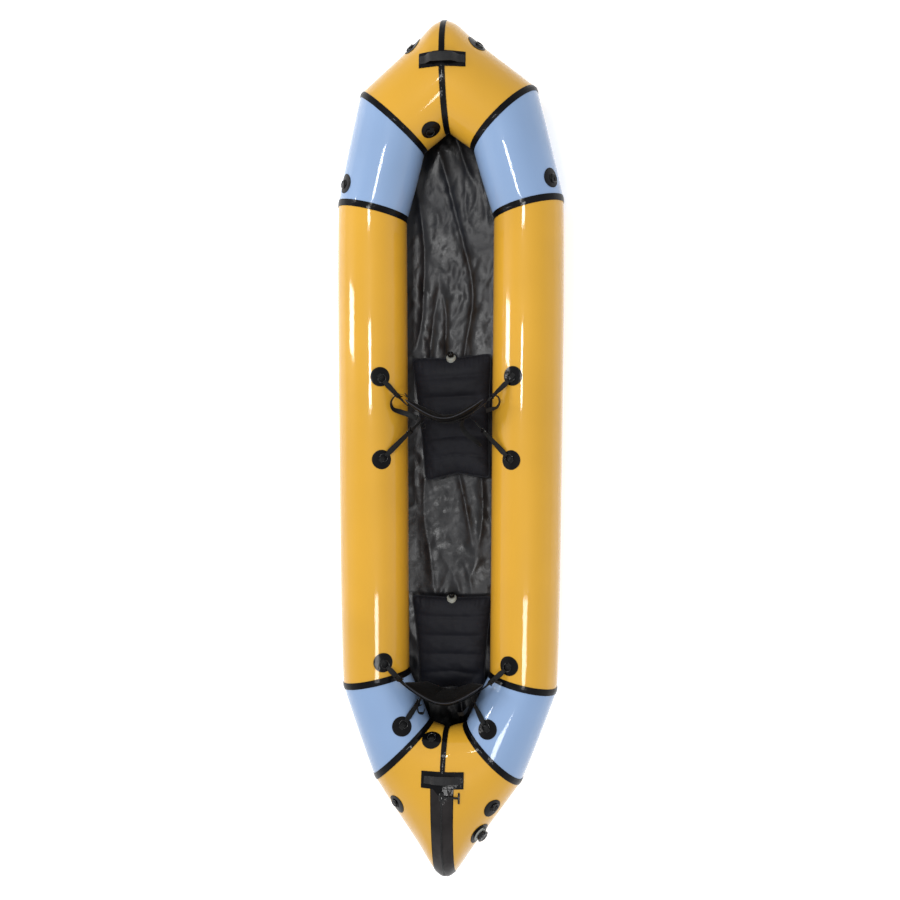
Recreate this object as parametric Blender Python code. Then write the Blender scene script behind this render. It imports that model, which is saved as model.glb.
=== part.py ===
"""Inflatable two-seat packraft, pointed at both ends, with a cargo zipper, two seats and lashing rings.

Metres, +Z up, +Y to the bow, +X to the right-hand side. The origin is on the ground under the
middle of the hull. The hull is a closed loop of tube panels, and each panel runs straight between
two flat elliptical seams. Everything welded on the hull is laid on that smooth surface.
"""

from math import atan2, cos, pi, radians, sin, sqrt

import bmesh
import bpy
from mathutils import Matrix, Vector

MM = 0.001
SLOPE_STEP = 0.001
NEWTON_STEPS = 6
UP = Vector((0, 0, 1))
ACROSS = Vector((1, 0, 0))
RIGHT, LEFT = 1, -1

# Seams of the right half of the hull: the cockpit end, the outer end, and half the tube's height.
# The bow's and the stern's corners and tip keep their distance from the cockpit's end.
BOW_APEX_Y = 1259 * MM
BOW_APEX_Z = 160 * MM
BOW_DECK_RUN = 377 * MM
BOW_TIP_Y = BOW_APEX_Y + BOW_DECK_RUN
BOW_TIP_Z = 330 * MM
BOW_HALF_HEIGHT = 155 * MM
BOW_CORNER_INNER_X = 96 * MM
BOW_CORNER_INNER_BACK = 77 * MM
BOW_CORNER_INNER_Y = BOW_APEX_Y - BOW_CORNER_INNER_BACK
BOW_CORNER_INNER_Z = 175 * MM
BOW_CORNER_OUTER_X = 342 * MM
BOW_CORNER_OUTER_LEAD = 144 * MM
BOW_CORNER_OUTER_Y = BOW_APEX_Y + BOW_CORNER_OUTER_LEAD
BOW_CORNER_OUTER_Z = 195 * MM
BOW_CORNER_HALF_HEIGHT = 150 * MM
FRONT_RING_INNER_X = 173 * MM
FRONT_RING_INNER_Y = 927 * MM
FRONT_RING_OUTER_X = 444 * MM
FRONT_RING_OUTER_Y = 992 * MM
FRONT_RING_HALF_HEIGHT = 135 * MM
REAR_RING_INNER_X = 161 * MM
REAR_RING_INNER_Y = -854 * MM
REAR_RING_OUTER_X = 422 * MM
REAR_RING_OUTER_Y = -913 * MM
REAR_RING_HALF_HEIGHT = 131 * MM
STERN_APEX_Y = -1058 * MM
STERN_DECK_RUN = 588 * MM
STERN_TIP_Y = STERN_APEX_Y - STERN_DECK_RUN
STERN_CENTRE_Z = 205 * MM
STERN_HALF_HEIGHT = 165 * MM
STERN_CORNER_INNER_X = 70 * MM
STERN_CORNER_INNER_LEAD = 12 * MM
STERN_CORNER_INNER_Y = STERN_APEX_Y + STERN_CORNER_INNER_LEAD
STERN_CORNER_OUTER_X = 288 * MM
STERN_CORNER_OUTER_BACK = 201 * MM
STERN_CORNER_OUTER_Y = STERN_APEX_Y - STERN_CORNER_OUTER_BACK
STERN_CORNER_Z = 165 * MM
STERN_CORNER_HALF_HEIGHT = 143 * MM

# Fabric, and the weld lines between pieces
WALL = 1.0 * MM
SEAM_GAP = 0.3 * MM
WELD_GAP = 0.5 * MM
TAPE_THICKNESS = 1.0 * MM
TAPE_WIDTH = 26 * MM
TAPE_MITRE_LIMIT = 3
TUBE_LIFT = 1.6 * MM
PANEL_CROWN_SHARE = 0.014
TUBE_SIDES = 24
SHORT_PANEL_STEPS = 4
SIDE_TUBE_STEPS = 2

# Floor
FLOOR_THICKNESS = 2 * MM
FLOOR_FLAT_HALF_WIDTH = 140 * MM
FLOOR_FLAT_SHARE = 0.6
FLOOR_RUN_SHARES = ((0.1, 0.4, 0.7, 1), (0.33, 0.66, 1), (0.5, 1), (0.33, 0.66, 1), (0.3, 0.6, 0.9))
FLOOR_ACROSS_SHARES = (-1, -0.8, -0.6, 0, 0.6, 0.8, 1)
FLOOR_SEAM_ANGLE = radians(240)
FLOOR_CLEARANCE = 1.85 * MM
FLOOR_SAG = 25 * MM

# Round patches and their D-rings
PATCH_RADIUS = 37.5 * MM
PATCH_THICKNESS = 1.5 * MM
RING_WIRE_RADIUS = 2.2 * MM
RING_HALF_WIDTH = 15 * MM
RING_REACH = 25 * MM
RING_CLEARANCE = 0.35 * MM
KEEPER_THICKNESS = 1.5 * MM
KEEPER_HALF_WIDTH = 9 * MM
KEEPER_FOOT = 10.5 * MM
KEEPER_SINK = 0.9 * MM
PATCH_SEGMENTS = 16
RING_ARC_STEPS = 6
ANCHOR_RING_BITE = 0.5 * MM

# Handles: patch length and width, grip width, arch height over the patch, and place on the deck,
# as a share of the way from the deck's cockpit end to the tip
BOW_HANDLE_LENGTH = 172 * MM
BOW_HANDLE_WIDTH = 56 * MM
BOW_HANDLE_AT_SHARE = 0.5305
BOW_GRIP_LENGTH = 140 * MM
BOW_GRIP_WIDTH = 25 * MM
BOW_GRIP_HEIGHT = 26 * MM
STERN_HANDLE_LENGTH = 160 * MM
STERN_HANDLE_WIDTH = 60 * MM
STERN_HANDLE_AT_SHARE = 0.2687
STERN_GRIP_LENGTH = 130 * MM
STERN_GRIP_WIDTH = 25 * MM
STERN_GRIP_HEIGHT = 24 * MM
GRIP_THICKNESS = 4 * MM
GRIP_FOOT = 16 * MM
GRIP_SINK = 0.8 * MM
GRIP_SHOULDER_SHARE = 1.6
GRIP_ARCH_SHARES = (0.85, 0.7, 0.55, 0.3)

# Cargo zipper along the stern seam
ZIPPER_HALF_WIDTH = 40 * MM
ZIPPER_TOP_ANGLE = radians(109)
ZIPPER_END_ANGLE = radians(-40)
SLIDER_ANGLE = radians(106)
SLIDER_END_ANGLE = radians(60)
SLIDER_LENGTH = 34 * MM
SLIDER_WIDTH = 20 * MM
SLIDER_HEIGHT = 11 * MM
SLIDER_CLEARANCE = 0.6 * MM
SLIDER_PLAN_SHARES = ((-1, 0.7, 0.55), (-0.7, 1, 0.8), (0.7, 1, 1), (1, 0.6, 0.7))
SLIDER_SHOULDER_SHARE = 0.6
SLIDER_CREST_SHARE = 0.5
TOGGLE_REACH = 62 * MM
TOGGLE_ROD_RADIUS = 2.6 * MM
TOGGLE_BAR_RADIUS = 4.0 * MM
TOGGLE_BAR_LENGTH = 40 * MM
TOGGLE_LEAD = -6 * MM
ROD_SIDES = 8

# Main valve on the right stern panel
VALVE_SHARE = 0.48
VALVE_ANGLE = radians(28)
VALVE_PATCH_RADIUS = 44 * MM
VALVE_FLANGE_RADIUS = 30 * MM
VALVE_FLANGE_HEIGHT = 5 * MM
VALVE_NECK_RADIUS = 22 * MM
VALVE_NECK_HEIGHT = 9 * MM
VALVE_BORE_RADIUS = 17 * MM
VALVE_SINK = 1.0 * MM
CAP_RADIUS = 25 * MM
CAP_HEIGHT = 19 * MM
CAP_CLEARANCE = 0.4 * MM
CAP_LUGS = 8
CAP_LUG_DEPTH = 1.2 * MM
CAP_EDGE = 2 * MM
TETHER_RADIUS = 1.6 * MM
TETHER_REACH = 15 * MM
TETHER_RISE = 14 * MM
TETHER_STEPS = 8

# Seats: cushion and backrest
CUSHION_THICKNESS = 88 * MM
CUSHION_CHANNEL_DEPTH = 12 * MM
CUSHION_GAP = 0.4 * MM
CUSHION_DRAWN_IN = 6 * MM
CUSHION_FORE_HOLLOW = 8 * MM
FRONT_CUSHION_Y = 149 * MM
FRONT_CUSHION_X = 8 * MM
FRONT_CUSHION_LENGTH = 492 * MM
FRONT_CUSHION_YAW = radians(3)
REAR_CUSHION_Y = -762 * MM
REAR_CUSHION_X = 0 * MM
REAR_CUSHION_LENGTH = 386 * MM
REAR_CUSHION_YAW = radians(0)
CUSHION_FORE_HALF_WIDTH = 160 * MM
CUSHION_AFT_HALF_WIDTH = 128 * MM
CUSHION_NOTCH = 26 * MM
CUSHION_WIDTH_SHARES = (-1, -0.94, -0.75, -0.4, 0, 0.4, 0.75, 0.94, 1)
CHANNEL_STEPS = 3
FRONT_CUSHION_CHANNELS = 6
REAR_CUSHION_CHANNELS = 5
SEAT_VALVE_FLANGE_RADIUS = 19 * MM
SEAT_VALVE_FLANGE_HEIGHT = 12 * MM
SEAT_VALVE_STEM_RADIUS = 9 * MM
SEAT_VALVE_KNOB_RADIUS = 12 * MM
SEAT_VALVE_KNOB_HEIGHT = 15 * MM
SEAT_VALVE_NECK_HEIGHT = 3 * MM
SEAT_VALVE_SINK = 16 * MM
SEAT_VALVE_SHARE = 0.985
BACKREST_TOP_HALF_WIDTH = 152 * MM
BACKREST_BOTTOM_HALF_WIDTH = 88 * MM
BACKREST_BOTTOM_Z = 104 * MM
BACKREST_HEIGHT = 222 * MM
BACKREST_THICKNESS = 30 * MM
BACKREST_SWEEP_SHARE = 0.85
BACKREST_SWEEP_RADIUS = 90 * MM
BACKREST_WIDTH_SHARES = (-1, -0.9, -0.65, -0.3, -0.15, 0.15, 0.3, 0.65, 0.9, 1)
BACKREST_HEIGHT_SHARES = (-1, -0.9, -0.5, 0, 0.5, 0.9, 1)
BACKREST_CHANNEL_AT_SHARE = 0.3
BACKREST_CHANNEL_SHARE = 0.45
FRONT_BACKREST_Y = 140 * MM
REAR_BACKREST_Y = -933 * MM

# Straps
STRAP_WIDTH = 22 * MM
STRAP_THICKNESS = 2.0 * MM
STRAP_GAP = 1.1 * MM
STRAP_END_GAP = 0.4 * MM
FORE_STRAP_Z = 288 * MM
AFT_STRAP_Z = 205 * MM
AFT_STRAP_HALF_SPAN = 78 * MM
FORE_STRAP_HALF_SPAN = 138 * MM
BUCKLE_WIDTH = 30 * MM
BUCKLE_THICKNESS = 7 * MM
BUCKLE_LENGTH = 24 * MM
BUCKLE_SHARE = 0.6
FORE_STRAP_STEPS = 12
AFT_STRAP_STEPS = 6
BUCKLE_STEP = 1.5 * MM


def clear_scene():
    for obj in list(bpy.data.objects):
        bpy.data.objects.remove(obj, do_unlink=True)


def principled(name, colour, roughness, metallic=0.0):
    material = bpy.data.materials.new(name)
    material.use_nodes = True
    shader = material.node_tree.nodes["Principled BSDF"]
    shader.inputs["Base Color"].default_value = (*colour, 1)
    shader.inputs["Roughness"].default_value = roughness
    shader.inputs["Metallic"].default_value = metallic
    return material


YELLOW_FABRIC = (0.75, 0.43, 0.06)
BLUE_FABRIC = (0.31, 0.44, 0.64)
BLACK_FABRIC = (0.012, 0.012, 0.014)
CUSHION_FABRIC = (0.020, 0.021, 0.025)
WEBBING_BLACK = (0.016, 0.016, 0.018)
MOULDED_BLACK = (0.010, 0.010, 0.011)


def add_object(name, mesh, colour, roughness):
    """One named object with its own material, smooth where its faces meet at a shallow angle."""
    mesh.materials.append(principled(name, colour, roughness))
    mesh.shade_smooth()
    mesh.set_sharp_from_angle(angle=radians(40))
    obj = bpy.data.objects.new(name, mesh)
    bpy.context.scene.collection.objects.link(obj)
    return obj


def mesh_from_bmesh(name, bm):
    """The closed mesh with all faces pointing out."""
    bmesh.ops.recalc_face_normals(bm, faces=bm.faces)
    if bm.calc_volume(signed=True) < 0:
        bmesh.ops.reverse_faces(bm, faces=bm.faces)
    mesh = bpy.data.meshes.new(name)
    bm.to_mesh(mesh)
    bm.free()
    return mesh


def sweep(name, profiles, closed):
    """Join closed profiles of equal count, in a ring when closed, or capped at both ends. A thin
    profile goes out along one face and back along the other. Both faces are split on the same
    diagonals, so a twisted wall keeps its thickness."""
    bm = bmesh.new()
    rows = [[bm.verts.new(point) for point in profile] for profile in profiles]
    count = len(rows[0])
    pairs = list(zip(rows, rows[1:]))
    if closed:
        pairs.append((rows[-1], rows[0]))
    else:
        bm.faces.new(rows[0])
        bm.faces.new(rows[-1])
    for near, far in pairs:
        for i in range(count):
            j = (i + 1) % count
            if 2 * i < count:
                split_quad(bm, near[i], near[j], far[j], far[i])
            else:
                split_quad(bm, near[j], far[j], far[i], near[i])
    return mesh_from_bmesh(name, bm)


def split_quad(bm, a, b, c, d):
    """Two triangles with their common edge from a to c."""
    bm.faces.new((a, b, c))
    bm.faces.new((a, c, d))


def union(target, tool):
    """Fuse tool into target with an exact Boolean; tool stays as a hidden guide."""
    tool.hide_render = True
    tool.display_type = "WIRE"
    cut = target.modifiers.new("fuse_" + tool.name, "BOOLEAN")
    cut.operation = "UNION"
    cut.object = tool


class Seam:
    """A flat elliptical seam between two panels, from its cockpit end to its outer end."""

    def __init__(self, inner, outer, half_height):
        inner, outer = Vector(inner), Vector(outer)
        self.centre = (inner + outer) / 2 + UP * TUBE_LIFT
        self.half_width = (outer - inner).length / 2
        self.half_height = half_height
        self.across = (outer - inner).normalized()
        self.upward = (UP - self.across * self.across.z).normalized()

    def point(self, angle, growth, inset):
        width = self.half_width * growth - inset
        height = self.half_height * growth - inset
        return self.centre + self.across * width * cos(angle) + self.upward * height * sin(angle)


class Panel:
    """A tube panel of the right half, from its aft seam at share 0 to its fore seam at share 1."""

    def __init__(self, aft, fore, crown_share):
        self.aft = aft
        self.fore = fore
        self.crown_share = crown_share

    def point(self, share, angle, inset=0):
        growth = 1 + self.crown_share * 4 * share * (1 - share)
        start = self.aft.point(angle, growth, inset)
        end = self.fore.point(angle, growth, inset)
        return start.lerp(end, share)

    def run(self, angle):
        """The panel's length along one angle."""
        return (self.point(1, angle) - self.point(0, angle)).length

    def along(self, share, angle):
        step = SLOPE_STEP
        return (self.point(share + step, angle) - self.point(share - step, angle)) / (2 * step)

    def around(self, share, angle):
        step = SLOPE_STEP
        return (self.point(share, angle + step) - self.point(share, angle - step)) / (2 * step)

    def normal(self, share, angle):
        outward = self.along(share, angle).cross(self.around(share, angle)).normalized()
        middle = self.aft.centre.lerp(self.fore.centre, share)
        if outward.dot(self.point(share, angle) - middle) < 0:
            outward.negate()
        return outward

    def near(self, share, angle, offset):
        """The share and angle at which the surface lies at an offset, seen along the normal."""
        start = self.point(share, angle)
        facing = self.normal(share, angle)
        flat = offset - facing * offset.dot(facing)
        for _ in range(NEWTON_STEPS):
            miss = flat - (self.point(share, angle) - start)
            miss -= facing * miss.dot(facing)
            share, angle = self.stepped(share, angle, miss)
        return share, angle

    def under(self, share, angle, x, y):
        """The share and angle at which the surface lies at a place in plan."""
        for _ in range(NEWTON_STEPS):
            here = self.point(share, angle)
            share, angle = self.stepped(share, angle, Vector((x - here.x, y - here.y, 0)), flat=True)
        return share, angle

    def stepped(self, share, angle, miss, flat=False):
        """One least-squares step on the surface towards a miss."""
        a, b = self.along(share, angle), self.around(share, angle)
        if flat:
            a.z = b.z = 0
        aa, ab, bb = a.dot(a), a.dot(b), b.dot(b)
        am, bm = a.dot(miss), b.dot(miss)
        det = aa * bb - ab * ab
        return share + (am * bb - bm * ab) / det, angle + (bm * aa - am * ab) / det


BOW_CENTRE = Seam((0, BOW_APEX_Y, BOW_APEX_Z), (0, BOW_TIP_Y, BOW_TIP_Z), BOW_HALF_HEIGHT)
BOW_CORNER = Seam(
    (BOW_CORNER_INNER_X, BOW_CORNER_INNER_Y, BOW_CORNER_INNER_Z),
    (BOW_CORNER_OUTER_X, BOW_CORNER_OUTER_Y, BOW_CORNER_OUTER_Z),
    BOW_CORNER_HALF_HEIGHT,
)
FRONT_RING = Seam(
    (FRONT_RING_INNER_X, FRONT_RING_INNER_Y, FRONT_RING_HALF_HEIGHT),
    (FRONT_RING_OUTER_X, FRONT_RING_OUTER_Y, FRONT_RING_HALF_HEIGHT),
    FRONT_RING_HALF_HEIGHT,
)
REAR_RING = Seam(
    (REAR_RING_INNER_X, REAR_RING_INNER_Y, REAR_RING_HALF_HEIGHT),
    (REAR_RING_OUTER_X, REAR_RING_OUTER_Y, REAR_RING_HALF_HEIGHT),
    REAR_RING_HALF_HEIGHT,
)
STERN_CORNER = Seam(
    (STERN_CORNER_INNER_X, STERN_CORNER_INNER_Y, STERN_CORNER_Z),
    (STERN_CORNER_OUTER_X, STERN_CORNER_OUTER_Y, STERN_CORNER_Z),
    STERN_CORNER_HALF_HEIGHT,
)
STERN_CENTRE = Seam(
    (0, STERN_APEX_Y, STERN_CENTRE_Z), (0, STERN_TIP_Y, STERN_CENTRE_Z), STERN_HALF_HEIGHT
)

BOW_PANEL = Panel(BOW_CORNER, BOW_CENTRE, PANEL_CROWN_SHARE)
FRONT_QUARTER = Panel(FRONT_RING, BOW_CORNER, PANEL_CROWN_SHARE)
SIDE_TUBE = Panel(REAR_RING, FRONT_RING, 0)
REAR_QUARTER = Panel(STERN_CORNER, REAR_RING, PANEL_CROWN_SHARE)
STERN_PANEL = Panel(STERN_CENTRE, STERN_CORNER, PANEL_CROWN_SHARE)


def on_side(point, side):
    return Vector((point.x * side, point.y, point.z))


def hull_angles():
    return [2 * pi * i / TUBE_SIDES for i in range(TUBE_SIDES)]


def hull_panel(name, panel, side, steps, colour):
    """A thin open-ended tube: at each angle, its outer line forwards and its inner line back."""
    profiles = []
    for angle in hull_angles():
        margin = SEAM_GAP / 2 / panel.run(angle)
        shares = [margin + (1 - 2 * margin) * i / steps for i in range(steps + 1)]
        outer = [on_side(panel.point(share, angle), side) for share in shares]
        inner = [on_side(panel.point(share, angle, WALL), side) for share in reversed(shares)]
        profiles.append(outer + inner)
    add_object(name, sweep(name, profiles, closed=True), colour, 0.3)


def seam_tape(name, first, second, half_width):
    """A tape over a seam. first and second are (panel, share at the seam, side) of its two panels,
    and half_width gives the tape's half width at an angle."""
    profiles = []
    for angle in hull_angles():
        under, over, normals = [], [], []
        for panel, end, side in (first, second):
            inward = half_width(angle) / panel.run(angle)
            share = end + inward * (1 - 2 * end)
            normal = on_side(panel.normal(share, angle), side)
            place = on_side(panel.point(share, angle), side)
            under.append(place + normal * WELD_GAP)
            over.append(place + normal * (WELD_GAP + TAPE_THICKNESS))
            normals.append(on_side(panel.normal(end, angle), side))
        panel, end, side = first
        middle = (normals[0] + normals[1]).normalized()
        stretch = min(TAPE_MITRE_LIMIT, 1 / normals[0].dot(middle))
        seam = on_side(panel.point(end, angle), side)
        low = seam + middle * WELD_GAP * stretch
        high = seam + middle * (WELD_GAP + TAPE_THICKNESS) * stretch
        profiles.append([under[0], low, under[1], over[1], high, over[0]])
    add_object(name, sweep(name, profiles, closed=True), BLACK_FABRIC, 0.35)


def plain_width(angle):
    return TAPE_WIDTH / 2


def zipper_width(angle):
    """The stern tape, widened into the zipper band from the handle round the tip."""
    turned = atan2(sin(angle), cos(angle))
    return ZIPPER_HALF_WIDTH if ZIPPER_END_ANGLE < turned < ZIPPER_TOP_ANGLE else TAPE_WIDTH / 2


def hull():
    for side, word in ((LEFT, "left"), (RIGHT, "right")):
        hull_panel(f"bow_panel_{word}", BOW_PANEL, side, SHORT_PANEL_STEPS, YELLOW_FABRIC)
        hull_panel(f"front_quarter_{word}", FRONT_QUARTER, side, SHORT_PANEL_STEPS, BLUE_FABRIC)
        hull_panel(f"side_tube_{word}", SIDE_TUBE, side, SIDE_TUBE_STEPS, YELLOW_FABRIC)
        hull_panel(f"rear_quarter_{word}", REAR_QUARTER, side, SHORT_PANEL_STEPS, BLUE_FABRIC)
        hull_panel(f"stern_panel_{word}", STERN_PANEL, side, SHORT_PANEL_STEPS, YELLOW_FABRIC)
        seam_tape(f"bow_mitre_tape_{word}", (FRONT_QUARTER, 1, side), (BOW_PANEL, 0, side), plain_width)
        seam_tape(f"front_ring_tape_{word}", (SIDE_TUBE, 1, side), (FRONT_QUARTER, 0, side), plain_width)
        seam_tape(f"rear_ring_tape_{word}", (REAR_QUARTER, 1, side), (SIDE_TUBE, 0, side), plain_width)
        seam_tape(
            f"stern_mitre_tape_{word}", (STERN_PANEL, 1, side), (REAR_QUARTER, 0, side), plain_width
        )
    seam_tape("bow_centre_tape", (BOW_PANEL, 1, LEFT), (BOW_PANEL, 1, RIGHT), plain_width)
    seam_tape("cargo_zipper_band", (STERN_PANEL, 0, LEFT), (STERN_PANEL, 0, RIGHT), zipper_width)


def floor_edge_points():
    """The floor's seam line along the right half of the hull, from the stern to the bow."""
    runs = (STERN_PANEL, REAR_QUARTER, SIDE_TUBE, FRONT_QUARTER, BOW_PANEL)
    for panel, shares in zip(runs, FLOOR_RUN_SHARES):
        for share in shares:
            outward = panel.normal(share, FLOOR_SEAM_ANGLE)
            yield panel.point(share, FLOOR_SEAM_ANGLE) + outward * (FLOOR_CLEARANCE + FLOOR_THICKNESS)


def floor_panel():
    """A sheet between the tubes, flat on the ground in its middle and rising to its seams."""
    profiles = []
    for edge in floor_edge_points():
        row = []
        ground = max(0, edge.z - FLOOR_SAG)
        flat = min(FLOOR_FLAT_HALF_WIDTH, edge.x * FLOOR_FLAT_SHARE)
        for share in FLOOR_ACROSS_SHARES:
            x = edge.x * share
            lift = max(0, (abs(x) - flat) / (edge.x - flat))
            row.append(Vector((x, edge.y, ground + (edge.z - ground) * lift**2)))
        top = [point + UP * FLOOR_THICKNESS for point in reversed(row)]
        profiles.append(row + top)
    add_object("floor_panel", sweep("floor_panel", profiles, closed=False), BLACK_FABRIC, 0.45)


class Place:
    """A spot on the hull with its outward normal and the direction that its fitting points."""

    def __init__(self, panel, share, angle, side, heading):
        self.panel = panel
        self.share = share
        self.angle = angle
        self.side = side
        self.origin = on_side(panel.point(share, angle), side)
        self.normal = on_side(panel.normal(share, angle), side)
        heading = Vector(heading)
        self.ahead = (heading - self.normal * heading.dot(self.normal)).normalized()
        self.sideways = self.ahead.cross(self.normal)

    def lay(self, sideways, ahead, height):
        """The point at an offset from the spot, laid on the hull and lifted off it."""
        offset = self.sideways * sideways + self.ahead * ahead
        share, angle = self.panel.near(self.share, self.angle, on_side(offset, self.side))
        place = on_side(self.panel.point(share, angle), self.side)
        return place + on_side(self.panel.normal(share, angle), self.side) * height

    def frame(self, height):
        """A matrix with X sideways, Y ahead and Z along the normal, lifted off the hull."""
        turned = Matrix((self.sideways, self.ahead, self.normal)).transposed().to_4x4()
        turned.translation = self.origin + self.normal * height
        return turned


def disc_mesh(name, place, radius, segments):
    """A round patch that follows the hull, as rings of points below and above."""
    bm = bmesh.new()
    layers = []
    for height in (WELD_GAP, WELD_GAP + PATCH_THICKNESS):
        centre = bm.verts.new(place.lay(0, 0, height))
        rings = []
        for radius_share in (0.5, 1):
            reach = radius * radius_share
            turns = [2 * pi * i / segments for i in range(segments)]
            rings.append([bm.verts.new(place.lay(reach * cos(t), reach * sin(t), height)) for t in turns])
        layers.append((centre, rings))
    for centre, (inner, outer) in layers:
        for i in range(segments):
            j = (i + 1) % segments
            bm.faces.new((centre, inner[i], inner[j]))
            split_quad(bm, inner[i], outer[i], outer[j], inner[j])
    low, high = layers[0][1][1], layers[1][1][1]
    for i in range(segments):
        j = (i + 1) % segments
        bm.faces.new((low[i], low[j], high[j], high[i]))
    return mesh_from_bmesh(name, bm)


def bar_height():
    """How far a ring's bar lies over the top of its patch."""
    return RING_CLEARANCE + RING_WIRE_RADIUS


def keeper(name, place, clearance):
    """The band over the ring's bar: an arch between two feet that are sunk in the patch."""
    tunnel = RING_WIRE_RADIUS + clearance
    crest = bar_height()
    shell = tunnel + KEEPER_THICKNESS
    outside = [(-KEEPER_FOOT, -KEEPER_SINK), (-KEEPER_FOOT, KEEPER_THICKNESS / 2)]
    outside += [(-cos(t) * shell, crest + sin(t) * shell) for t in (0, pi / 3, 2 * pi / 3, pi)]
    outside += [(KEEPER_FOOT, KEEPER_THICKNESS / 2), (KEEPER_FOOT, -KEEPER_SINK)]
    inside = [(tunnel, -KEEPER_SINK), (tunnel, crest)]
    inside += [(cos(t) * tunnel, crest + sin(t) * tunnel) for t in (pi / 3, 2 * pi / 3, pi)]
    inside += [(-tunnel, -KEEPER_SINK)]
    frame = place.frame(WELD_GAP + PATCH_THICKNESS)
    profiles = []
    for x in (-KEEPER_HALF_WIDTH, KEEPER_HALF_WIDTH):
        profiles.append([frame @ Vector((x, y, z)) for y, z in outside + inside])
    return add_object(name, sweep(name, profiles, closed=False), MOULDED_BLACK, 0.4)


def ring_curve(name, place):
    """A D-shaped wire ring whose straight bar lies on the hinge axis."""
    arc_centre = RING_REACH - RING_HALF_WIDTH
    points = [(-RING_HALF_WIDTH, 0), (RING_HALF_WIDTH, 0)]
    for i in range(RING_ARC_STEPS + 1):
        turn = pi * i / RING_ARC_STEPS
        points.append((RING_HALF_WIDTH * cos(turn), arc_centre + RING_HALF_WIDTH * sin(turn)))
    curve = bpy.data.curves.new(name, "CURVE")
    curve.dimensions = "3D"
    curve.bevel_depth = RING_WIRE_RADIUS
    curve.bevel_resolution = 1
    spline = curve.splines.new("POLY")
    spline.points.add(len(points) - 1)
    for target, (x, y) in zip(spline.points, points):
        target.co = (x, y, 0, 1)
    spline.use_cyclic_u = True
    obj = bpy.data.objects.new(name, curve)
    obj.matrix_world = place.frame(WELD_GAP + PATCH_THICKNESS + bar_height())
    bpy.context.scene.collection.objects.link(obj)
    curve.materials.append(principled(name, MOULDED_BLACK, 0.35))
    return obj


def ring_mesh_object(name, place):
    """The same ring as a mesh, for fusing with its patch."""
    source = ring_curve(name + "_wire", place)
    mesh = bpy.data.meshes.new_from_object(source.evaluated_get(bpy.context.evaluated_depsgraph_get()))
    world = source.matrix_world.copy()
    bpy.data.objects.remove(source, do_unlink=True)
    obj = bpy.data.objects.new(name, mesh)
    obj.matrix_world = world
    bpy.context.scene.collection.objects.link(obj)
    return obj


def lashing_point(word, place):
    """A patch with its keeper, and a loose ring that folds about its bar."""
    name = f"{word}_patch"
    patch = add_object(name, disc_mesh(name, place, PATCH_RADIUS, PATCH_SEGMENTS), BLACK_FABRIC, 0.35)
    union(patch, keeper(f"{word}_keeper", place, RING_CLEARANCE))
    ring_curve(f"{word}_ring", place)


# Lashing points: panel, share along it, angle round it, side and heading
LASHING_POINTS = {
    "bow_side_left": (BOW_PANEL, 0.64, radians(14), LEFT, (-1, 0, 0)),
    "bow_side_right": (BOW_PANEL, 0.64, radians(14), RIGHT, (1, 0, 0)),
    "bow_deck": (BOW_PANEL, 0.54, radians(138), LEFT, (0, -1, 0)),
    "front_quarter_left": (FRONT_QUARTER, 0.175, radians(38), LEFT, (-1, 0, 0)),
    "front_quarter_right": (FRONT_QUARTER, 0.175, radians(38), RIGHT, (1, 0, 0)),
    "stern_deck": (STERN_PANEL, 0.56, radians(144), LEFT, (0, 1, 0)),
    "stern_side_left": (STERN_PANEL, 0.7, radians(42), LEFT, (-1, 0, 0)),
    "stern_side_right": (STERN_PANEL, 0.7, radians(42), RIGHT, (1, 0, 0)),
}

# Seat anchors: panel, share along it and angle round it, the same on both sides
SEAT_ANCHORS = {
    "front_seat_fore": (SIDE_TUBE, 0.645, radians(111)),
    "front_seat_aft": (SIDE_TUBE, 0.47, radians(112.5)),
    "rear_seat_fore": (SIDE_TUBE, 0.0395, radians(112.5)),
    "rear_seat_aft": (REAR_QUARTER, 0.3, radians(115)),
}


def sweep_back(x):
    """How far forward of its middle a backrest lies at a distance from the centre line."""
    return BACKREST_SWEEP_SHARE * (sqrt(x * x + BACKREST_SWEEP_RADIUS**2) - BACKREST_SWEEP_RADIUS)


def backrest_forward(x):
    """The direction that a backrest's front faces, in plan."""
    slope = BACKREST_SWEEP_SHARE * x / sqrt(x * x + BACKREST_SWEEP_RADIUS**2)
    return Vector((-slope, 1, 0)).normalized()


def roundness(share):
    """Thickness across a padded piece, from 1 in its middle to 0 at its sewn edge."""
    return sqrt(max(0, 1 - abs(share) ** 4))


def strap_line(middle_y, x, z):
    """A point of the strap's middle line where it runs over the back of a backrest."""
    height_share = (z - BACKREST_BOTTOM_Z) / BACKREST_HEIGHT
    behind = BACKREST_THICKNESS / 2 * roundness(2 * height_share - 1) + STRAP_GAP + STRAP_THICKNESS / 2
    return Vector((x, middle_y + sweep_back(x), z)) - backrest_forward(x) * behind


def anchor_place(spot, side, target):
    """A seat anchor whose ring points at the strap's end on the backrest."""
    panel, share, angle = spot
    start = on_side(panel.point(share, angle), side)
    return Place(panel, share, angle, side, target - start)


def seat_anchor(name, place):
    """A patch, its keeper and a ring that the strap holds still, as one piece."""
    patch = add_object(name, disc_mesh(name, place, PATCH_RADIUS, PATCH_SEGMENTS), BLACK_FABRIC, 0.35)
    union(patch, keeper(f"{name}_keeper", place, -ANCHOR_RING_BITE))
    union(patch, ring_mesh_object(f"{name}_ring", place))


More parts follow.
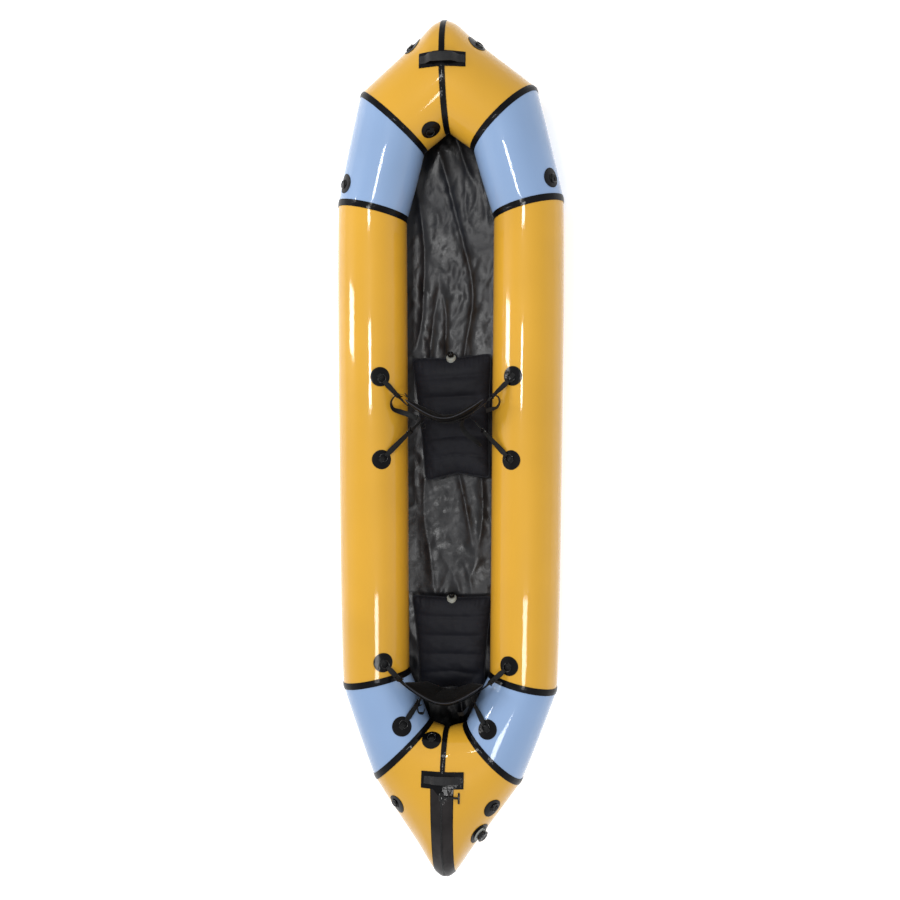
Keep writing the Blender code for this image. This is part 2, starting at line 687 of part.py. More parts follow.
def webbing(name, stations):
    """Flat webbing through stations of (middle, width direction, width, thickness)."""
    middles = [station[0] for station in stations]
    last = len(middles) - 1
    before = stations[0][1]
    profiles = []
    for i, (middle, wide, width, thickness) in enumerate(stations):
        travel = (middles[min(i + 1, last)] - middles[max(i - 1, 0)]).normalized()
        wide = (wide - travel * wide.dot(travel)).normalized()
        if wide.dot(before) < 0:
            wide.negate()
        before = wide
        half_wide = wide * width / 2
        half_thick = travel.cross(wide) * thickness / 2
        corners = ((-1, -1), (1, -1), (1, 1), (-1, 1))
        profiles.append([middle + half_wide * a + half_thick * b for a, b in corners])
    return add_object(name, sweep(name, profiles, closed=False), WEBBING_BLACK, 0.6)


def strap_leg(place, pad_end):
    """Stations from an anchor's ring to the pad, turning the webbing on edge, with a ladder-lock."""
    ring_end = ring_tip(place) + place.ahead * STRAP_END_GAP
    run = pad_end - ring_end
    half_buckle = BUCKLE_LENGTH / 2 / run.length
    step = BUCKLE_STEP / run.length
    webbing_size = (STRAP_WIDTH, STRAP_THICKNESS)
    buckle_size = (BUCKLE_WIDTH, BUCKLE_THICKNESS)
    leg = []
    for share, size in (
        (0, webbing_size),
        (BUCKLE_SHARE / 2, webbing_size),
        (BUCKLE_SHARE - half_buckle - step, webbing_size),
        (BUCKLE_SHARE - half_buckle, buckle_size),
        (BUCKLE_SHARE + half_buckle, buckle_size),
        (BUCKLE_SHARE + half_buckle + step, webbing_size),
    ):
        wide = place.sideways if place.sideways.z > 0 else -place.sideways
        leg.append((ring_end + run * share, wide.lerp(UP, share), *size))
    return leg


def backrest_strap(name, middle_y, z, half_span, steps, places):
    """One webbing across the back of a backrest, from the left ring to the right ring."""
    stations = []
    for index in range(steps + 1):
        x = half_span * (2 * index / steps - 1)
        stations.append((strap_line(middle_y, x, z), UP, STRAP_WIDTH, STRAP_THICKNESS))
    left_leg = strap_leg(places[0], stations[0][0])
    right_leg = strap_leg(places[1], stations[-1][0])
    return webbing(name, left_leg + stations + right_leg[::-1])


def pillow(name, width_shares, length_shares, place):
    """A closed padded form: two faces that meet at a sewn edge. place gives the point of either
    face, with face 1 or -1, at a width share and a length share."""
    bm = bmesh.new()
    faces = []
    for face in (1, -1):
        grid = []
        for t in length_shares:
            row = []
            for s in width_shares:
                edge = abs(s) == 1 or abs(t) == 1
                if face == -1 and edge:
                    row.append(faces[0][len(grid)][len(row)])
                else:
                    row.append(bm.verts.new(place(s, t, face)))
            grid.append(row)
        faces.append(grid)
    for grid in faces:
        for near, far in zip(grid, grid[1:]):
            for i in range(len(near) - 1):
                bm.faces.new((near[i], near[i + 1], far[i + 1], far[i]))
    return mesh_from_bmesh(name, bm)


def cushion(word, middle, length, yaw, channels):
    """An air cushion on the floor, with a channel sewn across between every two cells."""
    steps = channels * CHANNEL_STEPS
    inner = [2 * i / steps - 1 for i in range(1, steps)]
    end_share = 1 - 1 / (2 * steps)
    length_shares = [-1, -end_share, *inner, end_share, 1]
    turned = Matrix.Rotation(yaw, 4, "Z")

    def place(s, t, face):
        fore_share = (t + 1) / 2
        flare = CUSHION_FORE_HALF_WIDTH - CUSHION_AFT_HALF_WIDTH
        half_width = CUSHION_AFT_HALF_WIDTH + flare * fore_share - CUSHION_DRAWN_IN * sin(pi * fore_share)
        aft_notch = CUSHION_NOTCH * (1 - abs(s)) * (1 - fore_share) ** 2
        fore_notch = CUSHION_FORE_HOLLOW * (1 - abs(s)) * fore_share**2
        along = t * length / 2 + aft_notch - fore_notch
        cell = abs(sin(pi * channels * fore_share))
        crease = CUSHION_CHANNEL_DEPTH / CUSHION_THICKNESS * 2 * (1 - cell) ** 2
        swell = roundness(s) * roundness(t)
        if abs(t) < 1 and face == 1:
            swell *= 1 - crease
        up = CUSHION_THICKNESS / 2 * (1 + face * swell)
        return turned @ Vector((s * half_width, along, up)) + middle

    name = f"{word}_seat_cushion"
    body = add_object(name, pillow(name, CUSHION_WIDTH_SHARES, length_shares, place), CUSHION_FABRIC, 0.55)
    spot = place(0, SEAT_VALVE_SHARE, 1)
    slope = spot - place(0, SEAT_VALVE_SHARE - SLOPE_STEP, 1)
    tilt = atan2(-slope.z, Vector((slope.x, slope.y)).length)
    frame = Matrix.Translation(spot) @ turned @ Matrix.Rotation(-tilt, 4, "X")
    flange = [(0, -SEAT_VALVE_SINK), (SEAT_VALVE_FLANGE_RADIUS, -SEAT_VALVE_SINK)]
    flange += [(SEAT_VALVE_FLANGE_RADIUS, SEAT_VALVE_FLANGE_HEIGHT), (0, SEAT_VALVE_FLANGE_HEIGHT)]
    union(body, turned_piece(f"{word}_seat_flange", frame, flange, 16))
    low = SEAT_VALVE_FLANGE_HEIGHT + RING_CLEARANCE
    neck = low + SEAT_VALVE_NECK_HEIGHT
    knob = [(0, low), (SEAT_VALVE_STEM_RADIUS, low), (SEAT_VALVE_STEM_RADIUS, neck)]
    knob += [(SEAT_VALVE_KNOB_RADIUS, neck), (SEAT_VALVE_KNOB_RADIUS, neck + SEAT_VALVE_KNOB_HEIGHT)]
    knob += [(0, neck + SEAT_VALVE_KNOB_HEIGHT)]
    turned_piece(f"{word}_seat_valve", frame, knob, 16)


def turned_piece(name, frame, profile, segments, lobes=0, lobe_depth=0.0):
    """A turned body about its frame's Z axis. A profile that starts and ends at radius 0 is closed
    by its poles, and any other profile is a ring. Lobes hollow the outermost radius."""
    bm = bmesh.new()
    widest = max(radius for radius, _ in profile)
    solid = profile[0][0] == 0
    rows = []
    for i in range(segments):
        turn = 2 * pi * i / segments
        row = []
        for radius, height in profile:
            if radius == 0 and rows:
                row.append(rows[0][len(row)])
                continue
            reach = radius
            if radius == widest and lobes:
                reach -= lobe_depth * (1 - cos(lobes * turn)) / 2
            row.append(bm.verts.new((reach * cos(turn), reach * sin(turn), height)))
        rows.append(row)
    count = len(profile)
    for i in range(segments):
        near, far = rows[i], rows[(i + 1) % segments]
        for k in range(count - 1 if solid else count):
            m = (k + 1) % count
            corners = [near[k], near[m], far[m], far[k]]
            unique = [v for n, v in enumerate(corners) if v not in corners[:n]]
            bm.faces.new(unique)
    obj = add_object(name, mesh_from_bmesh(name, bm), MOULDED_BLACK, 0.4)
    obj.matrix_world = frame
    return obj


def backrest(word, middle_y):
    """A padded band between the straps, wide at its top, with two sewn channels."""

    def place(s, t, face):
        height_share = (t + 1) / 2
        half_width = BACKREST_BOTTOM_HALF_WIDTH
        half_width += (BACKREST_TOP_HALF_WIDTH - BACKREST_BOTTOM_HALF_WIDTH) * height_share
        x = s * half_width
        crease = 1 - BACKREST_CHANNEL_SHARE if abs(s) == BACKREST_CHANNEL_AT_SHARE else 1
        swell = BACKREST_THICKNESS / 2 * roundness(s) * roundness(t) * crease
        base = Vector((x, middle_y + sweep_back(x), BACKREST_BOTTOM_Z + BACKREST_HEIGHT * height_share))
        return base + backrest_forward(x) * swell * face

    name = f"{word}_backrest"
    mesh = pillow(name, BACKREST_WIDTH_SHARES, BACKREST_HEIGHT_SHARES, place)
    return add_object(name, mesh, CUSHION_FABRIC, 0.55)


def seat(word, middle_y):
    """A backrest with its two straps and the four anchors that hold them. The backrest lifts about
    the line through the ring ends of its fore anchors, so its pieces have their origin there."""
    pieces = [backrest(word, middle_y)]
    for end, z, half_span, steps in (
        ("fore", FORE_STRAP_Z, FORE_STRAP_HALF_SPAN, FORE_STRAP_STEPS),
        ("aft", AFT_STRAP_Z, AFT_STRAP_HALF_SPAN, AFT_STRAP_STEPS),
    ):
        places = []
        for side, side_word in ((LEFT, "left"), (RIGHT, "right")):
            target = strap_line(middle_y, half_span * side, z)
            place = anchor_place(SEAT_ANCHORS[f"{word}_seat_{end}"], side, target)
            seat_anchor(f"{word}_seat_{end}_anchor_{side_word}", place)
            places.append(place)
        name = f"{word}_backrest_{end}_strap"
        pieces.append(backrest_strap(name, middle_y, z, half_span, steps, places))
        if end == "fore":
            ring_end = ring_tip(places[0])
            pivot = Vector((0, ring_end.y, ring_end.z))
    for piece in pieces:
        move_origin(piece, pivot)


def ring_tip(place):
    """The outer edge of an anchor's ring, where the strap begins."""
    height = WELD_GAP + PATCH_THICKNESS + bar_height()
    return place.origin + place.normal * height + place.ahead * (RING_REACH + RING_WIRE_RADIUS)


def drape(panel, x, y, height):
    """A point over the centre line's neighbourhood, lifted off the hull along its normal."""
    centre_share = 1 if panel is BOW_PANEL else 0
    share, angle = panel.under(centre_share, pi / 2, abs(x), y)
    side = LEFT if x < 0 else RIGHT
    normal = on_side(panel.normal(share, angle), side)
    place = on_side(panel.point(share, angle), side)
    if x == 0:
        middle = Vector((0, normal.y, normal.z)).normalized()
        normal = middle / middle.dot(normal)
    return place + normal * height


def handle(name, panel, y, size, grip_size):
    """A rectangular patch over the centre tape, with an arched webbing grip sewn to it.
    size is the patch's length and width, and grip_size the grip's length, width and arch height."""
    half_length, half_width = size[0] / 2, size[1] / 2
    half_grip, half_grip_width, arch_height = grip_size[0] / 2, grip_size[1] / 2, grip_size[2]
    free = half_grip - GRIP_FOOT
    low = 2 * WELD_GAP + TAPE_THICKNESS
    high = low + PATCH_THICKNESS
    ends = (half_length, half_grip, free, free * 2 / 3, free / 3)
    places = [y + offset for offset in (-half_width, -half_grip_width, 0, half_grip_width, half_width)]
    profiles = []
    for x in mirrored(ends):
        under = [drape(panel, x, place, low) for place in places]
        over = [drape(panel, x, place, high) for place in reversed(places)]
        profiles.append(under + over)
    patch = add_object(name, sweep(name, profiles, closed=False), BLACK_FABRIC, 0.35)
    arch = []
    for x in mirrored((half_grip, free, *(free * share for share in GRIP_ARCH_SHARES))):
        shoulder = min(1, max(0, 1 - abs(x) / free) * GRIP_SHOULDER_SHARE)
        base = high - GRIP_SINK + arch_height * sin(pi / 2 * shoulder) ** 2
        edges = (y - half_grip_width, y + half_grip_width)
        corners = [drape(panel, x, place, base) for place in edges]
        corners += [drape(panel, x, place, base + GRIP_THICKNESS) for place in reversed(edges)]
        arch.append(corners)
    grip = f"{name}_grip"
    union(patch, add_object(grip, sweep(grip, arch, closed=False), WEBBING_BLACK, 0.6))


def mirrored(reaches):
    """Reaches from the outermost inwards, as offsets from one side to the other through 0."""
    return [-reach for reach in reaches] + [0] + list(reversed(reaches))


def circle_centre(a, b, c):
    """The centre of the circle through three points of the plane x = 0."""
    ab, ac = b - a, c - a
    cross = 2 * (ab.y * ac.z - ab.z * ac.y)
    y = (ac.z * ab.length_squared - ab.z * ac.length_squared) / cross
    z = (ab.y * ac.length_squared - ac.y * ab.length_squared) / cross
    return a + Vector((0, y, z))


def stern_seam(angle):
    return STERN_CENTRE.point(angle, 1, 0)


def slider_axis():
    """The slider runs along the curved seam, so it turns about the centre of the seam's curve."""
    half_run = (SLIDER_ANGLE - SLIDER_END_ANGLE) / 2
    middle = SLIDER_END_ANGLE + half_run
    return circle_centre(*(stern_seam(a) for a in (SLIDER_ANGLE, middle, SLIDER_END_ANGLE)))


def zipper_slider():
    """A slider body on the seam's ridge, with a pull rod and a T-bar lying to the right."""
    spot = stern_seam(SLIDER_ANGLE)
    centre = slider_axis()
    normal = (spot - centre).normalized()
    along = Vector((0, normal.z, -normal.y))
    base = spot + normal * (WELD_GAP + TAPE_THICKNESS + SLIDER_CLEARANCE)
    profiles = []
    for length_share, width_share, top_share in SLIDER_PLAN_SHARES:
        half = SLIDER_WIDTH / 2 * width_share
        top = SLIDER_HEIGHT * top_share
        shoulder = top * SLIDER_SHOULDER_SHARE
        crest = half * SLIDER_CREST_SHARE
        middle = base + along * SLIDER_LENGTH / 2 * length_share
        outline = ((-half, 0), (half, 0), (half, shoulder), (crest, top), (-crest, top), (-half, shoulder))
        profiles.append([middle + ACROSS * a + normal * b for a, b in outline])
    name = "cargo_zipper_slider"
    body = add_object(name, sweep(name, profiles, closed=False), MOULDED_BLACK, 0.4)
    start = base + normal * SLIDER_HEIGHT * SLIDER_SHOULDER_SHARE
    far = drape(STERN_PANEL, TOGGLE_REACH, spot.y + TOGGLE_LEAD, 2 * TOGGLE_BAR_RADIUS)
    half_bar = along * TOGGLE_BAR_LENGTH / 2
    union(body, rod("slider_rod", start, far, TOGGLE_ROD_RADIUS))
    union(body, rod("slider_bar", far - half_bar, far + half_bar, TOGGLE_BAR_RADIUS))
    move_origin(body, centre)


def rod(name, start, end, radius):
    """A round bar between two points."""
    axis = (end - start).normalized()
    side = axis.orthogonal().normalized()
    other = axis.cross(side)
    ring = round_section(Vector(), side, other, radius)
    ends = [[start + point for point in ring], [end + point for point in ring]]
    return add_object(name, sweep(name, ends, closed=False), MOULDED_BLACK, 0.4)


def round_section(middle, side, other, radius):
    turns = [2 * pi * i / ROD_SIDES for i in range(ROD_SIDES)]
    return [middle + side * radius * cos(t) + other * radius * sin(t) for t in turns]


def move_origin(obj, origin):
    """Put the object's origin at a point and leave its shape where it is."""
    obj.data.transform(Matrix.Translation(-origin))
    obj.location = origin


def tether_sections(frame):
    """Sections of the cap's cord: out of the flange's edge, round in a loop, and back beside the cap."""
    foot = VALVE_FLANGE_RADIUS - 2 * TETHER_RADIUS
    head = CAP_RADIUS + 2 * TETHER_RADIUS
    path = []
    for i in range(TETHER_STEPS + 1):
        share = i / TETHER_STEPS
        reach = foot + (head - foot) * share + TETHER_REACH * sin(pi * share)
        path.append(Vector((0, reach, VALVE_FLANGE_HEIGHT - TETHER_RADIUS + TETHER_RISE * share)))
    sections = []
    for i, middle in enumerate(path):
        ahead = (path[min(i + 1, TETHER_STEPS)] - path[max(i - 1, 0)]).normalized()
        section = round_section(middle, ACROSS, ahead.cross(ACROSS), TETHER_RADIUS)
        sections.append([frame @ point for point in section])
    return sections


def main_valve():
    """The base patch with its flange and neck, a tether loop, and the cap over the neck."""
    place = Place(STERN_PANEL, VALVE_SHARE, VALVE_ANGLE, RIGHT, (0, 1, 0))
    name = "main_valve_body"
    body = add_object(name, disc_mesh(name, place, VALVE_PATCH_RADIUS, 24), BLACK_FABRIC, 0.35)
    frame = place.frame(WELD_GAP + PATCH_THICKNESS)
    neck_top = VALVE_FLANGE_HEIGHT + VALVE_NECK_HEIGHT
    ring = [(VALVE_BORE_RADIUS, -VALVE_SINK), (VALVE_FLANGE_RADIUS, -VALVE_SINK)]
    ring += [(VALVE_FLANGE_RADIUS, VALVE_FLANGE_HEIGHT), (VALVE_NECK_RADIUS, VALVE_FLANGE_HEIGHT)]
    ring += [(VALVE_NECK_RADIUS, neck_top), (VALVE_BORE_RADIUS, neck_top)]
    union(body, turned_piece("main_valve_neck", frame, ring, 24))
    tether = sweep("main_valve_tether", tether_sections(frame), closed=False)
    union(body, add_object("main_valve_tether", tether, MOULDED_BLACK, 0.4))
    low = VALVE_FLANGE_HEIGHT + CAP_CLEARANCE
    cavity = neck_top + CAP_CLEARANCE
    inside = VALVE_NECK_RADIUS + CAP_CLEARANCE
    cap = [(0, cavity), (inside, cavity), (inside, low), (CAP_RADIUS, low)]
    cap += [(CAP_RADIUS, low + CAP_HEIGHT - CAP_EDGE), (CAP_RADIUS - CAP_EDGE, low + CAP_HEIGHT)]
    cap += [(0, low + CAP_HEIGHT)]
    turned_piece("main_valve_cap", frame, cap, 32, CAP_LUGS, CAP_LUG_DEPTH)


def main():
    clear_scene()
    hull()
    floor_panel()
    for word, spot in LASHING_POINTS.items():
        lashing_point(word, Place(*spot))
    bow_y = BOW_APEX_Y + BOW_DECK_RUN * BOW_HANDLE_AT_SHARE
    stern_y = STERN_APEX_Y - STERN_DECK_RUN * STERN_HANDLE_AT_SHARE
    bow_size = (BOW_HANDLE_LENGTH, BOW_HANDLE_WIDTH)
    bow_grip = (BOW_GRIP_LENGTH, BOW_GRIP_WIDTH, BOW_GRIP_HEIGHT)
    handle("bow_handle", BOW_PANEL, bow_y, bow_size, bow_grip)
    stern_size = (STERN_HANDLE_LENGTH, STERN_HANDLE_WIDTH)
    stern_grip = (STERN_GRIP_LENGTH, STERN_GRIP_WIDTH, STERN_GRIP_HEIGHT)
    handle("stern_handle", STERN_PANEL, stern_y, stern_size, stern_grip)
    zipper_slider()
    main_valve()
    front_spot = Vector((FRONT_CUSHION_X, FRONT_CUSHION_Y, FLOOR_THICKNESS + CUSHION_GAP))
    cushion("front", front_spot, FRONT_CUSHION_LENGTH, FRONT_CUSHION_YAW, FRONT_CUSHION_CHANNELS)
    rear_spot = Vector((REAR_CUSHION_X, REAR_CUSHION_Y, FLOOR_THICKNESS + CUSHION_GAP))
    cushion("rear", rear_spot, REAR_CUSHION_LENGTH, REAR_CUSHION_YAW, REAR_CUSHION_CHANNELS)
    seat("front", FRONT_BACKREST_Y)
    seat("rear", REAR_BACKREST_Y)


main()
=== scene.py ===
"""Looks of an inflatable two-seat packraft, made round its packed frame.

Metres, +Z up, +Y to the bow, +X to the right-hand side. The hull's tubes are ruled between flat
elliptical seams, and tapes, patches, handles and the zipper are laid on those smooth tubes.
"""

from collections import namedtuple
from functools import partial
from math import atan2, cos, exp, hypot, pi, radians, sin, sqrt

import bpy
from bpy.props import FloatProperty, FloatVectorProperty, PointerProperty
from mathutils import Matrix, Vector, noise


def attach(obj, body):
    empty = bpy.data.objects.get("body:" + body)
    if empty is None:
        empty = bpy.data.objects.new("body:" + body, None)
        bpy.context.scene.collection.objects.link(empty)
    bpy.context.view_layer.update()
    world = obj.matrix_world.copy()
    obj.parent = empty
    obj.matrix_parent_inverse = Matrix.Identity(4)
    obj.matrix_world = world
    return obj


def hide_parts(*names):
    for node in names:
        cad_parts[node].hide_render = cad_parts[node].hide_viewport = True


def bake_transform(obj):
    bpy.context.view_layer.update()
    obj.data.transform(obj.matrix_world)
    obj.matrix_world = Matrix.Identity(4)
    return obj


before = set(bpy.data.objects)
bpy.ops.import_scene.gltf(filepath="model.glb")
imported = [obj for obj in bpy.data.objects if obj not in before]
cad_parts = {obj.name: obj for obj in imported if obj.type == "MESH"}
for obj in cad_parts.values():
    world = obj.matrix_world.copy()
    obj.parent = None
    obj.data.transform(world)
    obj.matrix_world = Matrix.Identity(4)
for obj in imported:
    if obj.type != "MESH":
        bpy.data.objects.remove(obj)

bl_info = {
    "name": "Packraft",
    "version": (1, 0, 0),
    "blender": (4, 5, 0),
    "location": "View3D > Sidebar > Packraft",
    "description": "Dresses the packed packraft: tubes, tapes, floor, seats, webbing and fittings",
    "category": "Object",
}

MM = 0.001
UP = Vector((0, 0, 1))
ACROSS = Vector((1, 0, 0))
RIGHT, LEFT = 1, -1
SIDES = ((LEFT, "left"), (RIGHT, "right"))

# The solids' sizes that the visible pieces share
WALL = 1.0 * MM
SEAM_GAP = 0.3 * MM
WELD_GAP = 0.5 * MM
TAPE_THICKNESS = 1.0 * MM
TUBE_LIFT = 1.6 * MM
PANEL_CROWN_SHARE = 0.014
PATCH_THICKNESS = 1.5 * MM
SLOPE_STEP = 0.001
NEWTON_STEPS = 6
MERGE = 0.01 * MM


def srgb(code):
    """A colour written #RRGGBB, as linear red, green and blue."""
    parts = [int(code[i : i + 2], 16) / 255 for i in (1, 3, 5)]
    return tuple(c / 12.92 if c <= 0.04045 else ((c + 0.055) / 1.055) ** 2.4 for c in parts)


def clamped(value):
    return min(1, max(0, value))


# Sizes and colours that a user may change

def length(description, size):
    """A size in millimetres."""
    return FloatProperty(name=description, default=size * MM, unit="LENGTH")


def amount(description, size):
    return FloatProperty(name=description, default=size, min=0)


def colour(description, code):
    return FloatVectorProperty(
        name=description, default=srgb(code), size=3, min=0, max=1, subtype="COLOR"
    )


class PackraftHull(bpy.types.PropertyGroup):
    """Tubes, tapes and zipper"""

    tape_width: length("Width of a seam tape", 26)
    zipper_width: length("Width of the band under the cargo zipper", 132)
    bow_tip_radius: length("How round the bow's outermost seam is", 12)
    stern_tip_radius: length("How round the stern's outermost seam is", 18)
    tip_swell: length("How far the cloth swells out beside the tips", 10)
    side_swell: length("How far the side tubes swell out at the side", 7)
    pucker: length("Depth of the fabric's puckers beside a seam", 0.9)
    tooth_pitch: length("Distance between two teeth of the cargo zipper", 3)
    end_colour: colour("Colour of the bow, stern and side tubes", "#DFA832")
    quarter_colour: colour("Colour of the four quarter tubes", "#8FABD2")
    tape_colour: colour("Colour of the tapes, patches and zipper band", "#08080A")
    flap_colour: colour("Colour of the flaps beside the zipper's teeth", "#262323")


class PackraftFloor(bpy.types.PropertyGroup):
    """Floor sheet"""

    fold_height: length("Height of the floor's longest folds", 11)
    colour: colour("Colour of the floor sheet", "#212226")


class PackraftFittings(bpy.types.PropertyGroup):
    """Lashing points, handles and valves"""

    patch_radius: length("Radius of a lashing patch", 37.5)
    wire_radius: length("Half the thickness of a ring's wire", 2.2)
    plastic_colour: colour("Colour of rings, buckles, slider and valve cap", "#0D0D0F")
    grip_colour: colour("Colour of the two handles' webbing", "#262627")
    flange_colour: colour("Colour of the valves' flanges", "#A3A69F")


class PackraftSeats(bpy.types.PropertyGroup):
    """Cushions, backrests and their straps"""

    pressure: amount("Pressure that swells the padded pieces", 4)
    channel_depth: length("Depth of the welded channels across a cushion", 9)
    strap_width: length("Width of the webbing", 22)
    strap_thickness: length("Thickness of the webbing", 1.6)
    cushion_colour: colour("Colour of the two cushions", "#1F2026")
    backrest_colour: colour("Colour of the two backrests", "#080809")
    strap_colour: colour("Colour of the straps", "#111213")
    # The binding's pale grey is a painted highlight for the light line that its gloss catches; the
    # stitching thread shares this colour
    binding_colour: colour("Colour of the backrests' edge binding", "#33343A")


class PackraftStage(bpy.types.PropertyGroup):
    """Camera, paper and light"""

    lens: amount("Focal length of the camera, in millimetres", 1040.5 / 900 * 36)
    wall_light: amount("Strength of the pale walls", 0.88)
    ceiling_light: amount("Strength of the dark ceiling", 0.48)
    lamp_share: amount("Strength of the lamps, as a share of their own", 1)
    paper_colour: colour("Colour of the paper under the packraft", "#F6F6F6")


GROUPS = {
    "packraft_hull": PackraftHull,
    "packraft_floor": PackraftFloor,
    "packraft_fittings": PackraftFittings,
    "packraft_seats": PackraftSeats,
    "packraft_stage": PackraftStage,
}


def settings(word):
    return getattr(bpy.context.scene, f"packraft_{word}")


# The hull's smooth surface

class Seam:
    """A flat elliptical seam between two panels, from its cockpit end to its outer end."""

    def __init__(self, inner, outer, half_height):
        inner, outer = Vector(inner), Vector(outer)
        self.centre = (inner + outer) / 2 + UP * TUBE_LIFT
        self.half_width = (outer - inner).length / 2
        self.half_height = half_height
        self.across = (outer - inner).normalized()
        self.upward = (UP - self.across * self.across.z).normalized()

    def point(self, angle, growth):
        width = self.half_width * growth
        height = self.half_height * growth
        return self.centre + self.across * width * cos(angle) + self.upward * height * sin(angle)


class Panel:
    """A tube panel of the right half, from its aft seam at share 0 to its fore seam at share 1."""

    def __init__(self, aft, fore, crown_share):
        self.aft = aft
        self.fore = fore
        self.crown_share = crown_share

    def point(self, share, angle):
        growth = 1 + self.crown_share * 4 * share * (1 - share)
        return self.aft.point(angle, growth).lerp(self.fore.point(angle, growth), share)

    def run(self, angle):
        return (self.point(1, angle) - self.point(0, angle)).length

    def along(self, share, angle):
        step = SLOPE_STEP
        return (self.point(share + step, angle) - self.point(share - step, angle)) / (2 * step)

    def around(self, share, angle):
        step = SLOPE_STEP
        return (self.point(share, angle + step) - self.point(share, angle - step)) / (2 * step)

    def normal(self, share, angle):
        outward = self.along(share, angle).cross(self.around(share, angle)).normalized()
        middle = self.aft.centre.lerp(self.fore.centre, share)
        if outward.dot(self.point(share, angle) - middle) < 0:
            outward.negate()
        return outward

    def near(self, share, angle, offset):
        """The share and angle at which the surface lies at an offset, seen along the normal."""
        start = self.point(share, angle)
        facing = self.normal(share, angle)
        flat = offset - facing * offset.dot(facing)
        for _ in range(NEWTON_STEPS):
            miss = flat - (self.point(share, angle) - start)
            miss -= facing * miss.dot(facing)
            share, angle = self.stepped(share, angle, miss)
        return share, angle

    def under(self, share, angle, x, y):
        """The share and angle at which the surface lies at a place in plan."""
        for _ in range(NEWTON_STEPS):
            here = self.point(share, angle)
            share, angle = self.stepped(share, angle, Vector((x - here.x, y - here.y, 0)), flat=True)
        return share, angle

    def stepped(self, share, angle, miss, flat=False):
        """One least-squares step on the surface towards a miss."""
        a, b = self.along(share, angle), self.around(share, angle)
        if flat:
            a.z = b.z = 0
        aa, ab, bb = a.dot(a), a.dot(b), b.dot(b)
        am, bm = a.dot(miss), b.dot(miss)
        det = aa * bb - ab * ab
        return share + (am * bb - bm * ab) / det, angle + (bm * aa - am * ab) / det


BOW_CENTRE = Seam((0, 1.259, 0.160), (0, 1.636, 0.330), 0.155)
BOW_CORNER = Seam((0.096, 1.182, 0.175), (0.342, 1.403, 0.195), 0.150)
FRONT_RING = Seam((0.173, 0.927, 0.135), (0.444, 0.992, 0.135), 0.135)
REAR_RING = Seam((0.161, -0.854, 0.131), (0.422, -0.913, 0.131), 0.131)
STERN_CORNER = Seam((0.070, -1.046, 0.165), (0.288, -1.259, 0.165), 0.143)
STERN_CENTRE = Seam((0, -1.058, 0.205), (0, -1.646, 0.205), 0.165)

BOW_PANEL = Panel(BOW_CORNER, BOW_CENTRE, PANEL_CROWN_SHARE)
FRONT_QUARTER = Panel(FRONT_RING, BOW_CORNER, PANEL_CROWN_SHARE)
SIDE_TUBE = Panel(REAR_RING, FRONT_RING, 0)
REAR_QUARTER = Panel(STERN_CORNER, REAR_RING, PANEL_CROWN_SHARE)
STERN_PANEL = Panel(STERN_CENTRE, STERN_CORNER, PANEL_CROWN_SHARE)


def on_side(point, side):
    return Vector((point.x * side, point.y, point.z))


TIP_FULL_COSINE = 0.85
TIP_NONE_COSINE = 0.5
TIP_FADE_RADII = 4
TIP_SWELL_REACH = 50 * MM


def hull_spot(panel, share, angle, side):
    """A point of the hull and its outward normal. The bow's and the stern's centre seams are
    rounded off round their outer ends, where cloth under pressure holds no knife edge."""
    point, normal = panel.point(share, angle), panel.normal(share, angle)
    if panel in (BOW_PANEL, STERN_PANEL):
        hull = settings("hull")
        radius = hull.bow_tip_radius if panel is BOW_PANEL else hull.stern_tip_radius
        ridge = Vector((0, normal.y, normal.z))
        slope = normal.x / ridge.length
        ridge.normalize()
        outer = clamped((cos(angle) - TIP_NONE_COSINE) / (TIP_FULL_COSINE - TIP_NONE_COSINE))
        near = clamped(1 - point.x / (TIP_FADE_RADII * radius)) ** 2
        bent = hypot(point.x, radius)
        reach = (point.x / TIP_SWELL_REACH) ** 2
        swell = hull.tip_swell * reach * exp(1 - reach)
        point = point + ridge * outer * (swell - abs(slope) * near * (bent - point.x))
        normal = (ridge + ACROSS * slope * (1 - outer * near * (1 - point.x / bent))).normalized()
    elif panel is SIDE_TUBE:
        fullness = 1 - clamped(abs(2 * share - 1)) ** 4
        point = point + normal * settings("hull").side_swell * fullness * max(0, cos(angle))
    return on_side(point, side), on_side(normal, side)


class Place:
    """A spot on the hull with its outward normal and the direction that its fitting points."""

    def __init__(self, panel, share, angle, side, heading):
        self.panel, self.share, self.angle, self.side = panel, share, angle, side
        self.origin = on_side(panel.point(share, angle), side)
        self.normal = on_side(panel.normal(share, angle), side)
        heading = Vector(heading)
        self.ahead = (heading - self.normal * heading.dot(self.normal)).normalized()
        self.sideways = self.ahead.cross(self.normal)

    def lay(self, sideways, ahead, height):
        """The point at an offset from the spot, laid on the hull and lifted off it."""
        offset = on_side(self.sideways * sideways + self.ahead * ahead, self.side)
        place, normal = hull_spot(self.panel, *self.panel.near(self.share, self.angle, offset), self.side)
        return place + normal * height

    def frame(self, height):
        """X sideways, Y ahead and Z along the normal, lifted off the hull."""
        return axes(self.sideways, self.ahead, self.normal, self.origin + self.normal * height)


def drape(panel, x, y, height):
    """A point over the centre line's neighbourhood, lifted off the hull along its normal."""
    centre_share = 1 if panel is BOW_PANEL else 0
    share, angle = panel.under(centre_share, pi / 2, abs(x), y)
    side = LEFT if x < 0 else RIGHT
    normal = on_side(panel.normal(share, angle), side)
    place = on_side(panel.point(share, angle), side)
    if abs(x) < MERGE:
        middle = Vector((0, normal.y, normal.z)).normalized()
        normal = middle / middle.dot(normal)
    return place + normal * height


# Making a piece

def deselect():
    if bpy.context.object and bpy.context.object.mode != "OBJECT":
        bpy.ops.object.mode_set(mode="OBJECT")
    bpy.ops.object.select_all(action="DESELECT")


def select(obj):
    deselect()
    obj.select_set(True)
    bpy.context.view_layer.objects.active = obj


